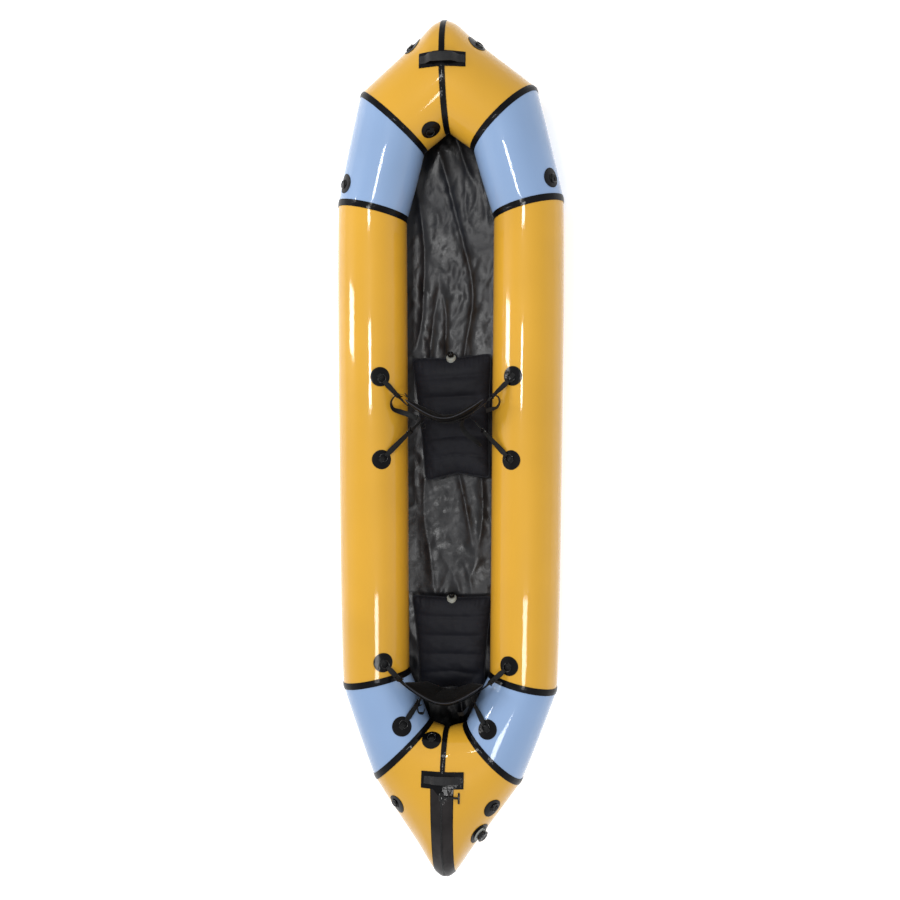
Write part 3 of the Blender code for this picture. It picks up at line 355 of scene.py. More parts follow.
def apply_modifier(obj, kind, **values):
    """Add a modifier with its settings, and apply it."""
    select(obj)
    modifier = obj.modifiers.new(kind.lower(), kind)
    for key, value in values.items():
        setattr(modifier, key, value)
    bpy.ops.object.modifier_apply(modifier=modifier.name)


def edit_all():
    """Go into edit mode with everything selected."""
    bpy.ops.object.mode_set(mode="EDIT")
    bpy.ops.mesh.select_all(action="SELECT")


def axes(x, y, z, origin):
    """The matrix that lays a model's X, Y and Z along three directions at an origin."""
    turned = Matrix((x, y, z)).transposed().to_4x4()
    turned.translation = origin
    return turned


def soften(obj, width, segments=2):
    """Round the sharp edges of a finished wall."""
    apply_modifier(
        obj, "BEVEL", width=width, segments=segments, limit_method="ANGLE", angle_limit=radians(50)
    )


def shaped_grid(name, columns, rows, rule, closed=False, cloth=None):
    """A grid primitive whose points go to rule(u, v), with u and v from 0 to 1. A closed one is
    welded where its sides and poles meet, and cloth is the size that its own UV map covers."""
    deselect()
    bpy.ops.mesh.primitive_grid_add(x_subdivisions=columns, y_subdivisions=rows, size=1)
    obj = bpy.context.object
    obj.name = obj.data.name = name
    shares = []
    for vertex in obj.data.vertices:
        u, v = round((vertex.co.x + 0.5) * columns) / columns, round((vertex.co.y + 0.5) * rows) / rows
        shares.append((u, v))
        vertex.co = rule(u, v)
    if cloth:
        for loop, spot in zip(obj.data.loops, obj.data.uv_layers[0].data):
            u, v = shares[loop.vertex_index]
            spot.uv = (u * cloth[0], v * cloth[1])
    edit_all()
    if closed:
        bpy.ops.mesh.remove_doubles(threshold=MERGE)
    bpy.ops.mesh.normals_make_consistent(inside=False)
    bpy.ops.object.mode_set(mode="OBJECT")
    return obj


def smooth(obj, angle=35):
    select(obj)
    bpy.ops.object.shade_smooth_by_angle(angle=radians(angle))


def thicken(obj, facing, thickness, edge=0, angle=35, offset=1, segments=2):
    """Turn an open piece's faces towards a direction, or towards facing(centre), give it a
    thickness on that side, and round its edges."""
    lean = 0
    for face in obj.data.polygons:
        way = facing(face.center) if callable(facing) else facing
        lean += face.normal.dot(way) * face.area
    if lean < 0:
        obj.data.flip_normals()
    apply_modifier(obj, "SOLIDIFY", thickness=thickness, offset=offset)
    if edge:
        soften(obj, edge, segments)
    smooth(obj, angle)


def fit(obj, body, slot, material, *nodes):
    """Give a finished piece its material and its body, and hide the solids that it stands for. A piece
    given no body is left unattached."""
    obj.data.materials.clear()
    obj.data.materials.append(finish(material))
    if body:
        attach(obj, body)
    if nodes:
        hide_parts(*nodes)


def joined(name, pieces):
    """Several meshes made one object."""
    deselect()
    for piece in pieces:
        piece.select_set(True)
    bpy.context.view_layer.objects.active = pieces[0]
    bpy.ops.object.join()
    pieces[0].name = pieces[0].data.name = name
    return pieces[0]


def copied(model, name, matrix):
    """A copy of a modelled piece, with its own mesh put in its place."""
    mesh = model.data.copy()
    mesh.name = name
    mesh.transform(matrix)
    obj = bpy.data.objects.new(name, mesh)
    bpy.context.scene.collection.objects.link(obj)
    return obj


def discard(model):
    bpy.data.objects.remove(model, do_unlink=True)


LOBED_SHARE = 0.86


def spun(name, profile, segments, lobes=0, lobe_depth=0.0):
    """A turned piece about Z, from a profile of radius and height in millimetres that starts and
    ends on Z or closes on itself. Lobes hollow its widest part."""
    widest = max(radius for radius, _ in profile)

    def rule(u, v):
        radius, height = profile[round(u * (len(profile) - 1))]
        turn = 2 * pi * v
        if lobes and radius > widest * LOBED_SHARE:
            radius -= lobe_depth * (0.5 - 0.5 * cos(lobes * turn)) ** 2
        return Vector((radius * MM * cos(turn), radius * MM * sin(turn), height * MM))

    obj = shaped_grid(name, len(profile) - 1, segments, rule, closed=True)
    smooth(obj, 40)
    return obj


def tube_along(name, points, radius, cyclic=False, sides=8):
    """A round wire or rod through points, with its ends closed."""
    count = len(points)
    ahead = [(b - a).normalized() for a, b in zip(points, points[1:] + points[:1])]
    if not cyclic:
        ahead[-1] = ahead[-2]
    headings = [(ahead[i - 1] + ahead[i]).normalized() if cyclic or i else ahead[i] for i in range(count)]
    first = headings[0].orthogonal().normalized()
    rings = []
    for centre, heading in zip(points, headings):
        first = (first - heading * first.dot(heading)).normalized()
        rings.append((centre, first, heading.cross(first)))
    rings = rings + rings[:1] if cyclic else rings[:1] + rings + rings[-1:]
    rows = len(rings) - 1

    def rule(u, v):
        i = round(u * rows)
        centre, one, other = rings[i]
        size = radius if cyclic or 0 < i < rows else 0
        return centre + (one * cos(2 * pi * v) + other * sin(2 * pi * v)) * size

    obj = shaped_grid(name, rows, sides, rule, closed=True)
    smooth(obj, 50)
    return obj


RIBBON_SIDES = 12
RIBBON_SQUARENESS = 0.3


def ribbon(name, stations, thickness):
    """Webbing through stations of (middle, width direction, width), with soft edges, closed ends,
    and a UV map of its own length and girth."""
    last = len(stations) - 1
    middles = [station[0] for station in stations]
    sections = []
    before = stations[0][1]
    for i, (middle, wide, width) in enumerate(stations):
        travel = (middles[min(i + 1, last)] - middles[max(i - 1, 0)]).normalized()
        wide = (wide - travel * wide.dot(travel)).normalized()
        if wide.dot(before) < 0:
            wide.negate()
        before = wide
        sections.append((middle, wide * width / 2, travel.cross(wide) * thickness / 2))
    rows = last + 2
    run = sum((b - a).length for a, b in zip(middles, middles[1:]))

    def rule(u, v):
        i = round(u * rows)
        middle, wide, thick = sections[min(max(i - 1, 0), last)]
        if i in (0, rows):
            return middle
        a, b = cos(2 * pi * v), sin(2 * pi * v)
        a = abs(a) ** RIBBON_SQUARENESS * (1 if a > 0 else -1)
        b = abs(b) ** RIBBON_SQUARENESS * (1 if b > 0 else -1)
        return middle + wide * a + thick * b

    obj = shaped_grid(name, rows, RIBBON_SIDES, rule, closed=True, cloth=(run, 2 * stations[0][2]))
    smooth(obj, 50)
    return obj


STITCH_LENGTH = 2.6 * MM
STITCH_PITCH = 3.4 * MM
THREAD_RADIUS = 0.45 * MM


def stitching(name, rows, body):
    """Rows of thread, each from a start to an end on a face with its normal. One stitch is modelled
    as a short sunk loop of thread and copied."""
    deselect()
    bpy.ops.mesh.primitive_uv_sphere_add(segments=6, ring_count=4, radius=1)
    model = bpy.context.object
    edit_all()
    bpy.ops.transform.resize(value=(STITCH_LENGTH / 2, THREAD_RADIUS, THREAD_RADIUS))
    bpy.ops.object.mode_set(mode="OBJECT")
    pieces = []
    for start, end, normal in rows:
        ahead = (end - start).normalized()
        count = max(1, round((end - start).length / STITCH_PITCH))
        for i in range(count):
            middle = start.lerp(end, (i + 0.5) / count)
            pieces.append(copied(model, name, axes(ahead, normal.cross(ahead), normal, middle)))
    discard(model)
    obj = joined(name, pieces)
    smooth(obj, 60)
    fit(obj, body, "webbing", "bonded_thread")


# Materials

def add_node(tree, kind, out, *first, **values):
    """Add a node with its settings and links, and give one of its outputs. The first values go to
    its first inputs, a capitalised one to the input of its name, and any other to the setting of
    its name. A socket is linked, and None leaves an input as it is. Each finish below gets it as
    add, with its own tree."""
    node = tree.nodes.new(f"ShaderNode{kind}")
    inputs = dict(enumerate(first))
    for key, value in values.items():
        if key[0].isupper():
            inputs[key.replace("_", " ")] = value
        else:
            setattr(node, key, value)
    for key, value in inputs.items():
        if isinstance(value, bpy.types.NodeSocket):
            tree.links.new(value, node.inputs[key])
        elif value is not None:
            node.inputs[key].default_value = value
    return node.outputs[out] if out else None


def tones(own, dark, pale):
    """A colour made darker and paler by shares, with full alpha."""
    low, high = ((*(clamped(part * share) for part in own), 1) for share in (dark, pale))
    return {"A": low, "B": high, "data_type": "RGBA"}


def mottled(add, own, place, size, detail, ends, dark, pale):
    """Clouds of a size in mm: how pale they are, and the colour that goes with it."""
    cloud = add("TexNoise", "Fac", Vector=place, Scale=1 / (size * MM), Detail=detail)
    share = add("MapRange", "Result", Value=cloud, From_Min=ends[0], From_Max=ends[1])
    return share, add("Mix", "Result", Factor=share, **tones(own, dark, pale))


def grained(add, place, size, detail, depth, under=None):
    """A relief of grains of a size and a depth in mm, over another relief."""
    rise = add("TexNoise", "Fac", Vector=place, Scale=1 / (size * MM), Detail=detail)
    return add("Bump", "Normal", Height=rise, Distance=depth * MM, Normal=under)


def coated_nylon(add, own):
    """Nylon cloth with a polyurethane film laminated on. The film gives a wet, even gloss, the
    stretched cloth under it long shallow ripples along the tubes, which break a lamp's reflection
    into streaks, and the cloth's weave shows through as a faint grain. The weave's real pitch of
    0.4 mm is too fine to show, so it is drawn at 2 mm."""
    place = add("TexCoord", "Object")
    along = add("Mapping", "Vector", Vector=place, Scale=(1, 0.2, 1))
    ripple = add("TexNoise", "Fac", Vector=along, Scale=1 / (60 * MM), Detail=3)
    _, shade = mottled(add, own, place, 350, 2, (0.3, 0.7), 0.95, 1.05)
    gloss = add(
        "MapRange", "Result", Value=ripple, From_Min=0.3, From_Max=0.7, To_Min=0.34, To_Max=0.46
    )
    rippled = add("Bump", "Normal", Height=ripple, Distance=0.7 * MM)
    peeled = grained(add, along, 12, 2, 0.08, rippled)
    woven = grained(add, place, 2, 1, 0.015, peeled)
    return add(
        "BsdfPrincipled", "BSDF", Base_Color=shade, Roughness=gloss, Normal=woven,
        Specular_IOR_Level=0.15, Coat_Weight=0.85, Coat_Roughness=0.06, Coat_Normal=peeled,
    )


def tape_film(add, own):
    """Black polyurethane tape, pressed on with a hot roller. The melted film is glossy, the roller
    leaves shallow dents every 15 mm or so, and scuffs dull it in patches."""
    place = add("TexCoord", "Object")
    share, shade = mottled(add, own, place, 80, 5, (0.35, 0.7), 0.75, 1.5)
    gloss = add("MapRange", "Result", Value=share, To_Min=0.3, To_Max=0.5)
    dented = grained(add, place, 15, 2, 0.8)
    return add(
        "BsdfPrincipled", "BSDF", Base_Color=shade, Roughness=gloss, Normal=dented,
        Specular_IOR_Level=0.05, Coat_Weight=0.3, Coat_Roughness=0.1, Coat_Normal=dented,
    )


# Where the floor's painted shade at the stern and at the bow fades out, as shares along its UV map
PAINTED_SHADE_ENDS = ((0.07, 0.14), (0.95, 0.88))


def floor_cloth(add, own):
    """Heavy black nylon of the floor, coated on both sides. The coating has a satin sheen, and being folded
    for the pack leaves sharp creases that catch the light on one flank. Its border is painted near black
    and less shiny as painted shade where the floor runs in under the tubes, wider at both ends. Its UV map
    gives shares across and along it."""
    place = add("TexCoord", "Object")
    facets = add(
        "TexNoise", "Fac", Vector=place, Scale=1 / (85 * MM), Detail=4, Distortion=0.6,
        Lacunarity=2.1, noise_type="RIDGED_MULTIFRACTAL",
    )
    creases = add("MapRange", "Result", Value=facets, From_Min=0.2, From_Max=1.8)
    share, shade = mottled(add, own, place, 150, 4, (0.35, 0.65), 0.6, 1.25)
    gloss = add("MapRange", "Result", Value=share, To_Min=0.3, To_Max=0.44)
    spread = add("UVMap", "UV", uv_map="UVMap")
    spot = add("SeparateXYZ", "X", Vector=spread).node.outputs
    # Painted shade: clear falls to 0 at the floor's edge and near both ends, where the tubes shade it, and
    # there the floor is drawn near black and with less specular
    inward = add("Math", "Value", spot["X"], 0.5, operation="PINGPONG")
    clear = add("MapRange", "Result", Value=inward, From_Min=0.02, From_Max=0.1)
    for low, high in PAINTED_SHADE_ENDS:
        fade = add("MapRange", "Result", Value=spot["Y"], From_Min=low, From_Max=high)
        clear = add("Math", "Value", clear, fade, operation="MULTIPLY")
    painted_edge_shade = add("Mix", "Result", Factor=clear, **{**tones(own, 0.12, 1), "B": shade})
    shine = add("MapRange", "Result", Value=clear, To_Min=0.12, To_Max=0.5)
    folded = add("Bump", "Normal", Height=creases, Distance=3.2 * MM)
    rumpled = grained(add, place, 28, 3, 1.6, folded)
    return add(
        "BsdfPrincipled", "BSDF", Base_Color=painted_edge_shade, Roughness=gloss,
        Normal=grained(add, place, 2.5, 1, 0.05, rumpled), Specular_IOR_Level=shine,
    )


# Blender's wave texture has one wave in this length at scale 1
WAVE = 0.314


def seat_cloth(add, own):
    """Plain-woven nylon with its coating inside, so the bare threads face out: charcoal, with a
    soft satin sheen. Its 0.3 mm threads are drawn at 0.8 mm to show."""
    place = add("TexCoord", "Object")
    warp, weft = (
        add("TexWave", "Fac", Vector=place, Scale=WAVE / (0.8 * MM), bands_direction=way)
        for way in "XY"
    )
    thread = add("Math", "Value", warp, weft, operation="MULTIPLY")
    share, shade = mottled(add, own, place, 120, 4, (0.3, 0.7), 0.8, 1.2)
    gloss = add("MapRange", "Result", Value=share, To_Min=0.42, To_Max=0.55)
    wrinkled = grained(add, place, 25, 3, 0.9)
    woven = add("Bump", "Normal", Height=thread, Distance=0.06 * MM, Normal=wrinkled)
    return add(
        "BsdfPrincipled", "BSDF", Base_Color=shade, Roughness=gloss, Normal=woven,
        Specular_IOR_Level=0.12, Sheen_Weight=0.03, Sheen_Roughness=0.4,
    )


def webbing_weave(add, own):
    """Polyester webbing, woven with a rib across it every 1.6 mm and cords along it. Ribs and cords follow
    the strap's own UV map, and the grooves between the ribs are painted darker than the tops, as painted
    shade."""
    run = add("UVMap", "UV", uv_map="UVMap")
    ribs, cords = (
        add("TexWave", "Fac", Vector=run, Scale=WAVE / (pitch * MM), bands_direction=way)
        for pitch, way in ((1.6, "X"), (2.4, "Y"))
    )
    # Painted shade: darker in the grooves between the ribs, paler on their tops
    shade = add("Mix", "Result", Factor=ribs, **tones(own, 0.55, 1.3))
    ribbed = add("Bump", "Normal", Height=ribs, Distance=0.25 * MM)
    corded = add("Bump", "Normal", Height=cords, Distance=0.12 * MM, Normal=ribbed)
    return add(
        "BsdfPrincipled", "BSDF", Base_Color=shade, Roughness=0.55, Normal=corded,
        Specular_IOR_Level=0.25, Sheen_Weight=0.05, Sheen_Roughness=0.5,
    )


def moulded(add, own, roughness):
    """Injection-moulded plastic. The polished mould leaves a low gloss with a fine spark-eroded
    grain, drawn at 1.5 mm, and handling leaves paler rubbed spots."""
    place = add("TexCoord", "Object")
    rubbed = add("TexNoise", "Fac", Vector=place, Scale=1 / (18 * MM), Detail=3)
    shade = add("Mix", "Result", Factor=rubbed, **tones(own, 0.75, 1.3))
    gloss = add("MapRange", "Result", Value=rubbed, To_Min=roughness - 0.06, To_Max=roughness + 0.1)
    bump = grained(add, place, 1.5, 2, 0.03)
    return add("BsdfPrincipled", "BSDF", Base_Color=shade, Roughness=gloss, Normal=bump)


def paper(add, own):
    """White backdrop paper: matt, with a faint tooth. The camera and reflections see it white, and
    it still takes the packraft's shadow."""
    seen = add("LightPath", "Is Camera Ray")
    for word in ("Is Glossy Ray", "Is Transmission Ray"):
        ray = add("LightPath", word)
        seen = add("Math", "Value", seen, ray, operation="MAXIMUM")
    glow = add("Math", "Value", seen, 0.55, operation="MULTIPLY")
    tooth = grained(add, add("TexCoord", "Object"), 4, 3, 0.05)
    return add(
        "BsdfPrincipled", "BSDF", Base_Color=(*own, 1), Roughness=0.9, Normal=tooth,
        Emission_Color=(1, 1, 1, 1), Emission_Strength=glow,
    )


# How a finish is made, from which colour, and how rough it is
FINISHES = {
    "end_coated_nylon": (coated_nylon, "hull", "end_colour"),
    "quarter_coated_nylon": (coated_nylon, "hull", "quarter_colour"),
    "welded_tape": (tape_film, "hull", "tape_colour"),
    "zipper_flap": (tape_film, "hull", "flap_colour"),
    "floor_nylon": (floor_cloth, "floor", "colour"),
    "seat_nylon": (seat_cloth, "seats", "cushion_colour"),
    "backrest_nylon": (seat_cloth, "seats", "backrest_colour"),
    "strap_webbing": (webbing_weave, "seats", "strap_colour"),
    "grip_webbing": (webbing_weave, "fittings", "grip_colour"),
    "edge_binding": (webbing_weave, "seats", "binding_colour"),
    "moulded_plastic": (moulded, "fittings", "plastic_colour", 0.12),
    "zipper_teeth": (moulded, "fittings", "plastic_colour", 0.38),
    "pale_valve_plastic": (moulded, "fittings", "flange_colour", 0.35),
    "bonded_thread": (moulded, "seats", "binding_colour", 0.5),
    "backdrop_paper": (paper, "stage", "paper_colour"),
}


def finish(name):
    """A material by its name, made the first time that it is asked for."""
    if name in bpy.data.materials:
        return bpy.data.materials[name]
    make, group, word, *roughness = FINISHES[name]
    material = bpy.data.materials.new(name)
    material.use_nodes = True
    material.node_tree.nodes.clear()
    add = partial(add_node, material.node_tree)
    add("OutputMaterial", None, Surface=make(add, getattr(settings(group), word), *roughness))
    return material


# Hull

TUBE_SIDES = 96
PUCKER_REACH = 26 * MM
PUCKER_COUNT = 9
PUCKERS_PER_METRE = 20
COLUMN_CROWDING = 0.7
YELLOW = ("yellow_fabric", "end_coated_nylon")
BLUE = ("blue_fabric", "quarter_coated_nylon")

# The word in its name, its solid, its shape, its columns, its slot and its finish
PANELS = (
    ("bow", "bow_panel", BOW_PANEL, 40, *YELLOW),
    ("front_quarter", "front_quarter", FRONT_QUARTER, 40, *BLUE),
    ("side", "side_tube", SIDE_TUBE, 72, *YELLOW),
    ("rear_quarter", "rear_quarter", REAR_QUARTER, 40, *BLUE),
    ("stern", "stern_panel", STERN_PANEL, 40, *YELLOW),
)


def tube_skin(name, panel, columns, side):
    """A tube of coated cloth between two seams, drawn in slightly by puckers beside each seam.
    Its columns lie closer together near the seams."""
    depth = settings("hull").pucker

    def rule(u, v):
        angle = 2 * pi * v
        run = panel.run(angle)
        margin = SEAM_GAP / 2 / run
        share = margin + (1 - 2 * margin) * (u - COLUMN_CROWDING * sin(2 * pi * u) / (2 * pi))
        nearest = min(share, 1 - share) * run
        seed = 0 if share < 0.5 else 7
        across = Vector((cos(angle), sin(angle), 0)) * PUCKER_COUNT
        wave = noise.noise(across + UP * (seed + nearest * PUCKERS_PER_METRE))
        dip = depth * exp(-nearest / PUCKER_REACH) * (0.5 + 0.5 * wave)
        place, normal = hull_spot(panel, share, angle, side)
        return place - normal * dip

    obj = shaped_grid(name, columns, TUBE_SIDES, rule, closed=True)
    middle = on_side(panel.aft.centre.lerp(panel.fore.centre, 0.5), side)
    axis = on_side(panel.fore.centre - panel.aft.centre, side).normalized()
    thicken(
        obj, lambda spot: spot - middle - axis * (spot - middle).dot(axis), WALL, angle=60, offset=-1
    )
    return obj


def seam_strip(
    name, first, second, reach, height, thickness, edge=0, columns=12, sweep=(0, 2 * pi), rows=TUBE_SIDES
):
    """A strip over a seam. first and second are (panel, share at the seam, side) of its panels, and
    reach(u, angle) is a point's distance from the seam, below 0 on the first panel."""

    def rule(u, v):
        angle = sweep[0] + (sweep[1] - sweep[0]) * v
        distance = reach(u, angle)
        panel, end, side = first if distance < 0 else second
        share = end + abs(distance) / panel.run(angle) * (1 - 2 * end)
        place, normal = hull_spot(panel, share, angle, side)
        if abs(distance) < MERGE:
            own, other = (hull_spot(panel, end, angle, side)[1] for panel, end, side in (first, second))
            middle = (own + other).normalized()
            normal = middle / max(1 / 3, own.dot(middle))
        return place + normal * height

    obj = shaped_grid(name, columns, rows, rule, closed=abs(sweep[1] - sweep[0] - 2 * pi) < MERGE)
    panel, end, side = first
    centre = on_side((panel.fore if end else panel.aft).centre, side)
    thicken(obj, lambda spot: spot - centre, thickness, edge, 30, segments=1)
    return obj


def welded_tape(word, first, second, half_width):
    """A tape over a seam, standing for its solid."""
    obj = seam_strip(
        f"{word}_strip", first, second, lambda u, angle: (2 * u - 1) * half_width(angle),
        WELD_GAP, TAPE_THICKNESS, 0.35 * MM,
    )
    fit(obj, "hull", "black_fabric", "welded_tape", word)


ZIPPER_TOP_ANGLE = radians(109)
ZIPPER_END_ANGLE = radians(-40)
ZIPPER_EDGE_ANGLE = radians(5)


def plain_width(angle):
    return settings("hull").tape_width / 2


def zipper_width(angle):
    """The stern tape, widened into the zipper band from the handle round the tip."""
    turned = atan2(sin(angle), cos(angle))
    plain, wide = plain_width(angle), settings("hull").zipper_width / 2
    inside = min(ZIPPER_TOP_ANGLE - turned, turned - ZIPPER_END_ANGLE)
    return plain + (wide - plain) * clamped(inside / ZIPPER_EDGE_ANGLE + 0.5)


class PackraftMakeHull(bpy.types.Operator):
    """Make the ten tubes of coated cloth and the tapes over their seams"""

    bl_idname = "packraft.make_hull"
    bl_label = "Make hull"

    def execute(self, context):
        for side, side_word in SIDES:
            for word, node, panel, columns, slot, material in PANELS:
                obj = tube_skin(f"{word}_skin_{side_word}", panel, columns, side)
                fit(obj, "hull", slot, material, f"{node}_{side_word}")
            for word, first, second in (
                ("bow_mitre", FRONT_QUARTER, BOW_PANEL),
                ("front_ring", SIDE_TUBE, FRONT_QUARTER),
                ("rear_ring", REAR_QUARTER, SIDE_TUBE),
                ("stern_mitre", STERN_PANEL, REAR_QUARTER),
            ):
                welded_tape(f"{word}_tape_{side_word}", (first, 1, side), (second, 0, side), plain_width)
        welded_tape("bow_centre_tape", (BOW_PANEL, 1, LEFT), (BOW_PANEL, 1, RIGHT), plain_width)
        welded_tape("cargo_zipper_band", (STERN_PANEL, 0, LEFT), (STERN_PANEL, 0, RIGHT), zipper_width)
        return {"FINISHED"}


# Cargo zipper

BAND_TOP = WELD_GAP + TAPE_THICKNESS
SLIDER_ANGLE = radians(106)
SLIDER_LENGTH = 34 * MM
SLIDER_WIDTH = 20 * MM
SLIDER_HEIGHT = 11 * MM
SLIDER_CLEARANCE = 0.6 * MM
TOGGLE_REACH = 62 * MM
TOGGLE_ROD_RADIUS = 4.2 * MM
TOGGLE_BAR_RADIUS = 4.0 * MM
TOGGLE_LEAD = -6 * MM
TEETH_START_ANGLE = radians(103)
TEETH_END_ANGLE = radians(-36)
TOOTH_WIDTH = 4.4 * MM
TOOTH_HEIGHT = 1.3 * MM
TOOTH_OFFSET = 1.1 * MM
TOOTH_LENGTH_SHARE = 0.62
GUARD_IN = 4.5 * MM
GUARD_OUT = 61 * MM
GUARD_THICKNESS = 0.45 * MM


def ridge(angle, side=RIGHT):
    """Axes on the stern seam's tape, Y towards a smaller angle and Z outwards, and how far the
    angle goes in a metre there."""
    place, normal = hull_spot(STERN_PANEL, 0, angle, RIGHT)
    after, _ = hull_spot(STERN_PANEL, 0, angle - SLOPE_STEP, RIGHT)
    outward = Vector((0, normal.y, normal.z)).normalized()
    ahead = (after - place).normalized()
    turned = axes(ahead.cross(outward) * side, ahead * side, outward, place + outward * BAND_TOP)
    return turned, SLOPE_STEP / (after - place).length


def zipper_teeth():
    """Moulded teeth, alternately from the left and the right tape, down the seam's ridge."""
    pitch = settings("hull").tooth_pitch
    deselect()
    bpy.ops.mesh.primitive_cube_add(size=1)
    model = bpy.context.object
    edit_all()
    bpy.ops.transform.resize(value=(TOOTH_WIDTH, pitch * TOOTH_LENGTH_SHARE, TOOTH_HEIGHT))
    bpy.ops.transform.translate(value=(TOOTH_OFFSET, 0, TOOTH_HEIGHT / 2))
    bpy.ops.mesh.bevel(offset=0.35 * MM, segments=1, affect="EDGES")
    bpy.ops.object.mode_set(mode="OBJECT")
    pieces = []
    angle, side = TEETH_START_ANGLE, RIGHT
    while angle > TEETH_END_ANGLE:
        turned, turn_per_metre = ridge(angle, side)
        pieces.append(copied(model, "tooth", turned))
        angle -= pitch / 2 * turn_per_metre
        side = -side
    discard(model)
    obj = joined("cargo_zipper_teeth", pieces)
    smooth(obj, 40)
    fit(obj, "hull", "moulded_black", "zipper_teeth")


def zipper_guards():
    """The two welded flaps of the zipper's own tape, one on each side of the teeth."""
    for side, side_word in SIDES:
        obj = seam_strip(
            f"zipper_guard_{side_word}", (STERN_PANEL, 0, LEFT), (STERN_PANEL, 0, RIGHT),
            lambda u, angle: side * (GUARD_IN + (GUARD_OUT - GUARD_IN) * u), BAND_TOP, GUARD_THICKNESS,
            columns=14, sweep=(TEETH_END_ANGLE, ZIPPER_TOP_ANGLE - ZIPPER_EDGE_ANGLE), rows=60,
        )
        fit(obj, "hull", "black_fabric", "zipper_flap")


def zipper_stop():
    """The moulded stop at the zipper's lower end."""
    obj = spun("zipper_stop", ((0, 0), (9, 0), (9, 1.5), (7.5, 3), (0, 3.4)), 24)
    obj.data.transform(ridge(TEETH_END_ANGLE - radians(1))[0])
    fit(obj, "hull", "moulded_black", "moulded_plastic")


# Share of the slider's length, then its width and height there, from its aft end to its nose
SLIDER_SHARES = (
    (-1, 0.45, 0.45), (-0.9, 0.72, 0.62), (-0.6, 1, 0.82), (-0.2, 1, 0.95),
    (0.2, 1, 1), (0.6, 0.98, 0.98), (0.88, 0.8, 0.78), (1, 0.5, 0.55),
)
# Half of the slider's section, from the tunnel over the teeth to the top, as shares
SLIDER_SECTION = ((-0.39, 0.22), (-0.39, 0), (-1, 0), (-1, 0.5), (-0.82, 0.8), (-0.45, 1), (0, 1.04))
TOGGLE_BAR = ((0, -20), (2.2, -20), (3.4, -19.2), (4, -17.2), (4, 17.2), (3.4, 19.2), (2.2, 20), (0, 20))
# The pull's arch over the slider, as shares of its length and height
SLIDER_ARCH = ((-0.34, 0.9), (-0.3, 1.25), (-0.12, 1.42), (0.12, 1.42), (0.3, 1.25), (0.34, 0.9))


def zipper_pull():
    """The slider on the seam's ridge with its pull rod and T-bar, lying to the right. The tunnel
    over the teeth keeps its size along the whole slider."""
    spot = STERN_CENTRE.point(SLIDER_ANGLE, 1)
    ahead = (STERN_CENTRE.point(SLIDER_ANGLE - SLOPE_STEP, 1) - spot).normalized()
    outward = ACROSS.cross(ahead)
    if outward.z < 0:
        outward.negate()
    base = spot + outward * (BAND_TOP + SLIDER_CLEARANCE)
    section = SLIDER_SECTION + tuple((-x, z) for x, z in reversed(SLIDER_SECTION[:-1]))
    rows = len(SLIDER_SHARES) + 1

    def rule(u, v):
        i = round(u * rows)
        along, wide, high = SLIDER_SHARES[min(max(i - 1, 0), rows - 2)]
        x, z = section[round(v * len(section)) % len(section)]
        if i in (0, rows):
            x, z = 0, 0.5
        if z < 0.3 and abs(x) < 0.5:
            wide = high = 1
        middle = base + ahead * SLIDER_LENGTH / 2 * along
        return middle + ACROSS * SLIDER_WIDTH / 2 * wide * x + outward * SLIDER_HEIGHT * high * z

    body = shaped_grid("slider_body", rows, len(section), rule, closed=True)
    soften(body, 0.8 * MM)
    start = base + outward * SLIDER_HEIGHT * 0.6
    far = drape(STERN_PANEL, TOGGLE_REACH, spot.y + TOGGLE_LEAD, 2 * TOGGLE_BAR_RADIUS)
    rod = tube_along("slider_rod", [start, start.lerp(far, 0.5), far], TOGGLE_ROD_RADIUS, sides=16)
    axis = (far - start).normalized()
    across = (axis - ahead * axis.dot(ahead)).normalized()
    bar = spun("slider_bar", TOGGLE_BAR, 20)
    bar.data.transform(axes(across, ahead.cross(across), ahead, far))
    arch = [base + ahead * SLIDER_LENGTH * y + outward * SLIDER_HEIGHT * z for y, z in SLIDER_ARCH]
    bail = tube_along("slider_bail", arch, 1.6 * MM, sides=12)
    obj = joined("cargo_zipper_pull", [body, rod, bar, bail])
    smooth(obj, 40)
    fit(obj, "zipper_slider", "moulded_black", "moulded_plastic", "cargo_zipper_slider")


class PackraftMakeZipper(bpy.types.Operator):
    """Make the cargo zipper's teeth, flaps, stop and slider"""

    bl_idname = "packraft.make_zipper"
    bl_label = "Make cargo zipper"

    def execute(self, context):
        zipper_guards()
        zipper_teeth()
        zipper_stop()
        zipper_pull()
        return {"FINISHED"}


# Handles

HANDLE_LIFT = WELD_GAP + BAND_TOP
GRIP_THICKNESS = 4 * MM
GRIP_FOOT = 16 * MM
GRIP_SHOULDER_SHARE = 1.6
GRIP_STEPS = 48
STITCH_INSET = 3 * MM

# Panel, place, patch length and width, grip length, width and arch height
HANDLES = {
    "bow": (BOW_PANEL, 1.459, 0.172, 0.056, 0.164, 0.029, 0.026),
    "stern": (STERN_PANEL, -1.216, 0.160, 0.060, 0.136, 0.027, 0.024),
}


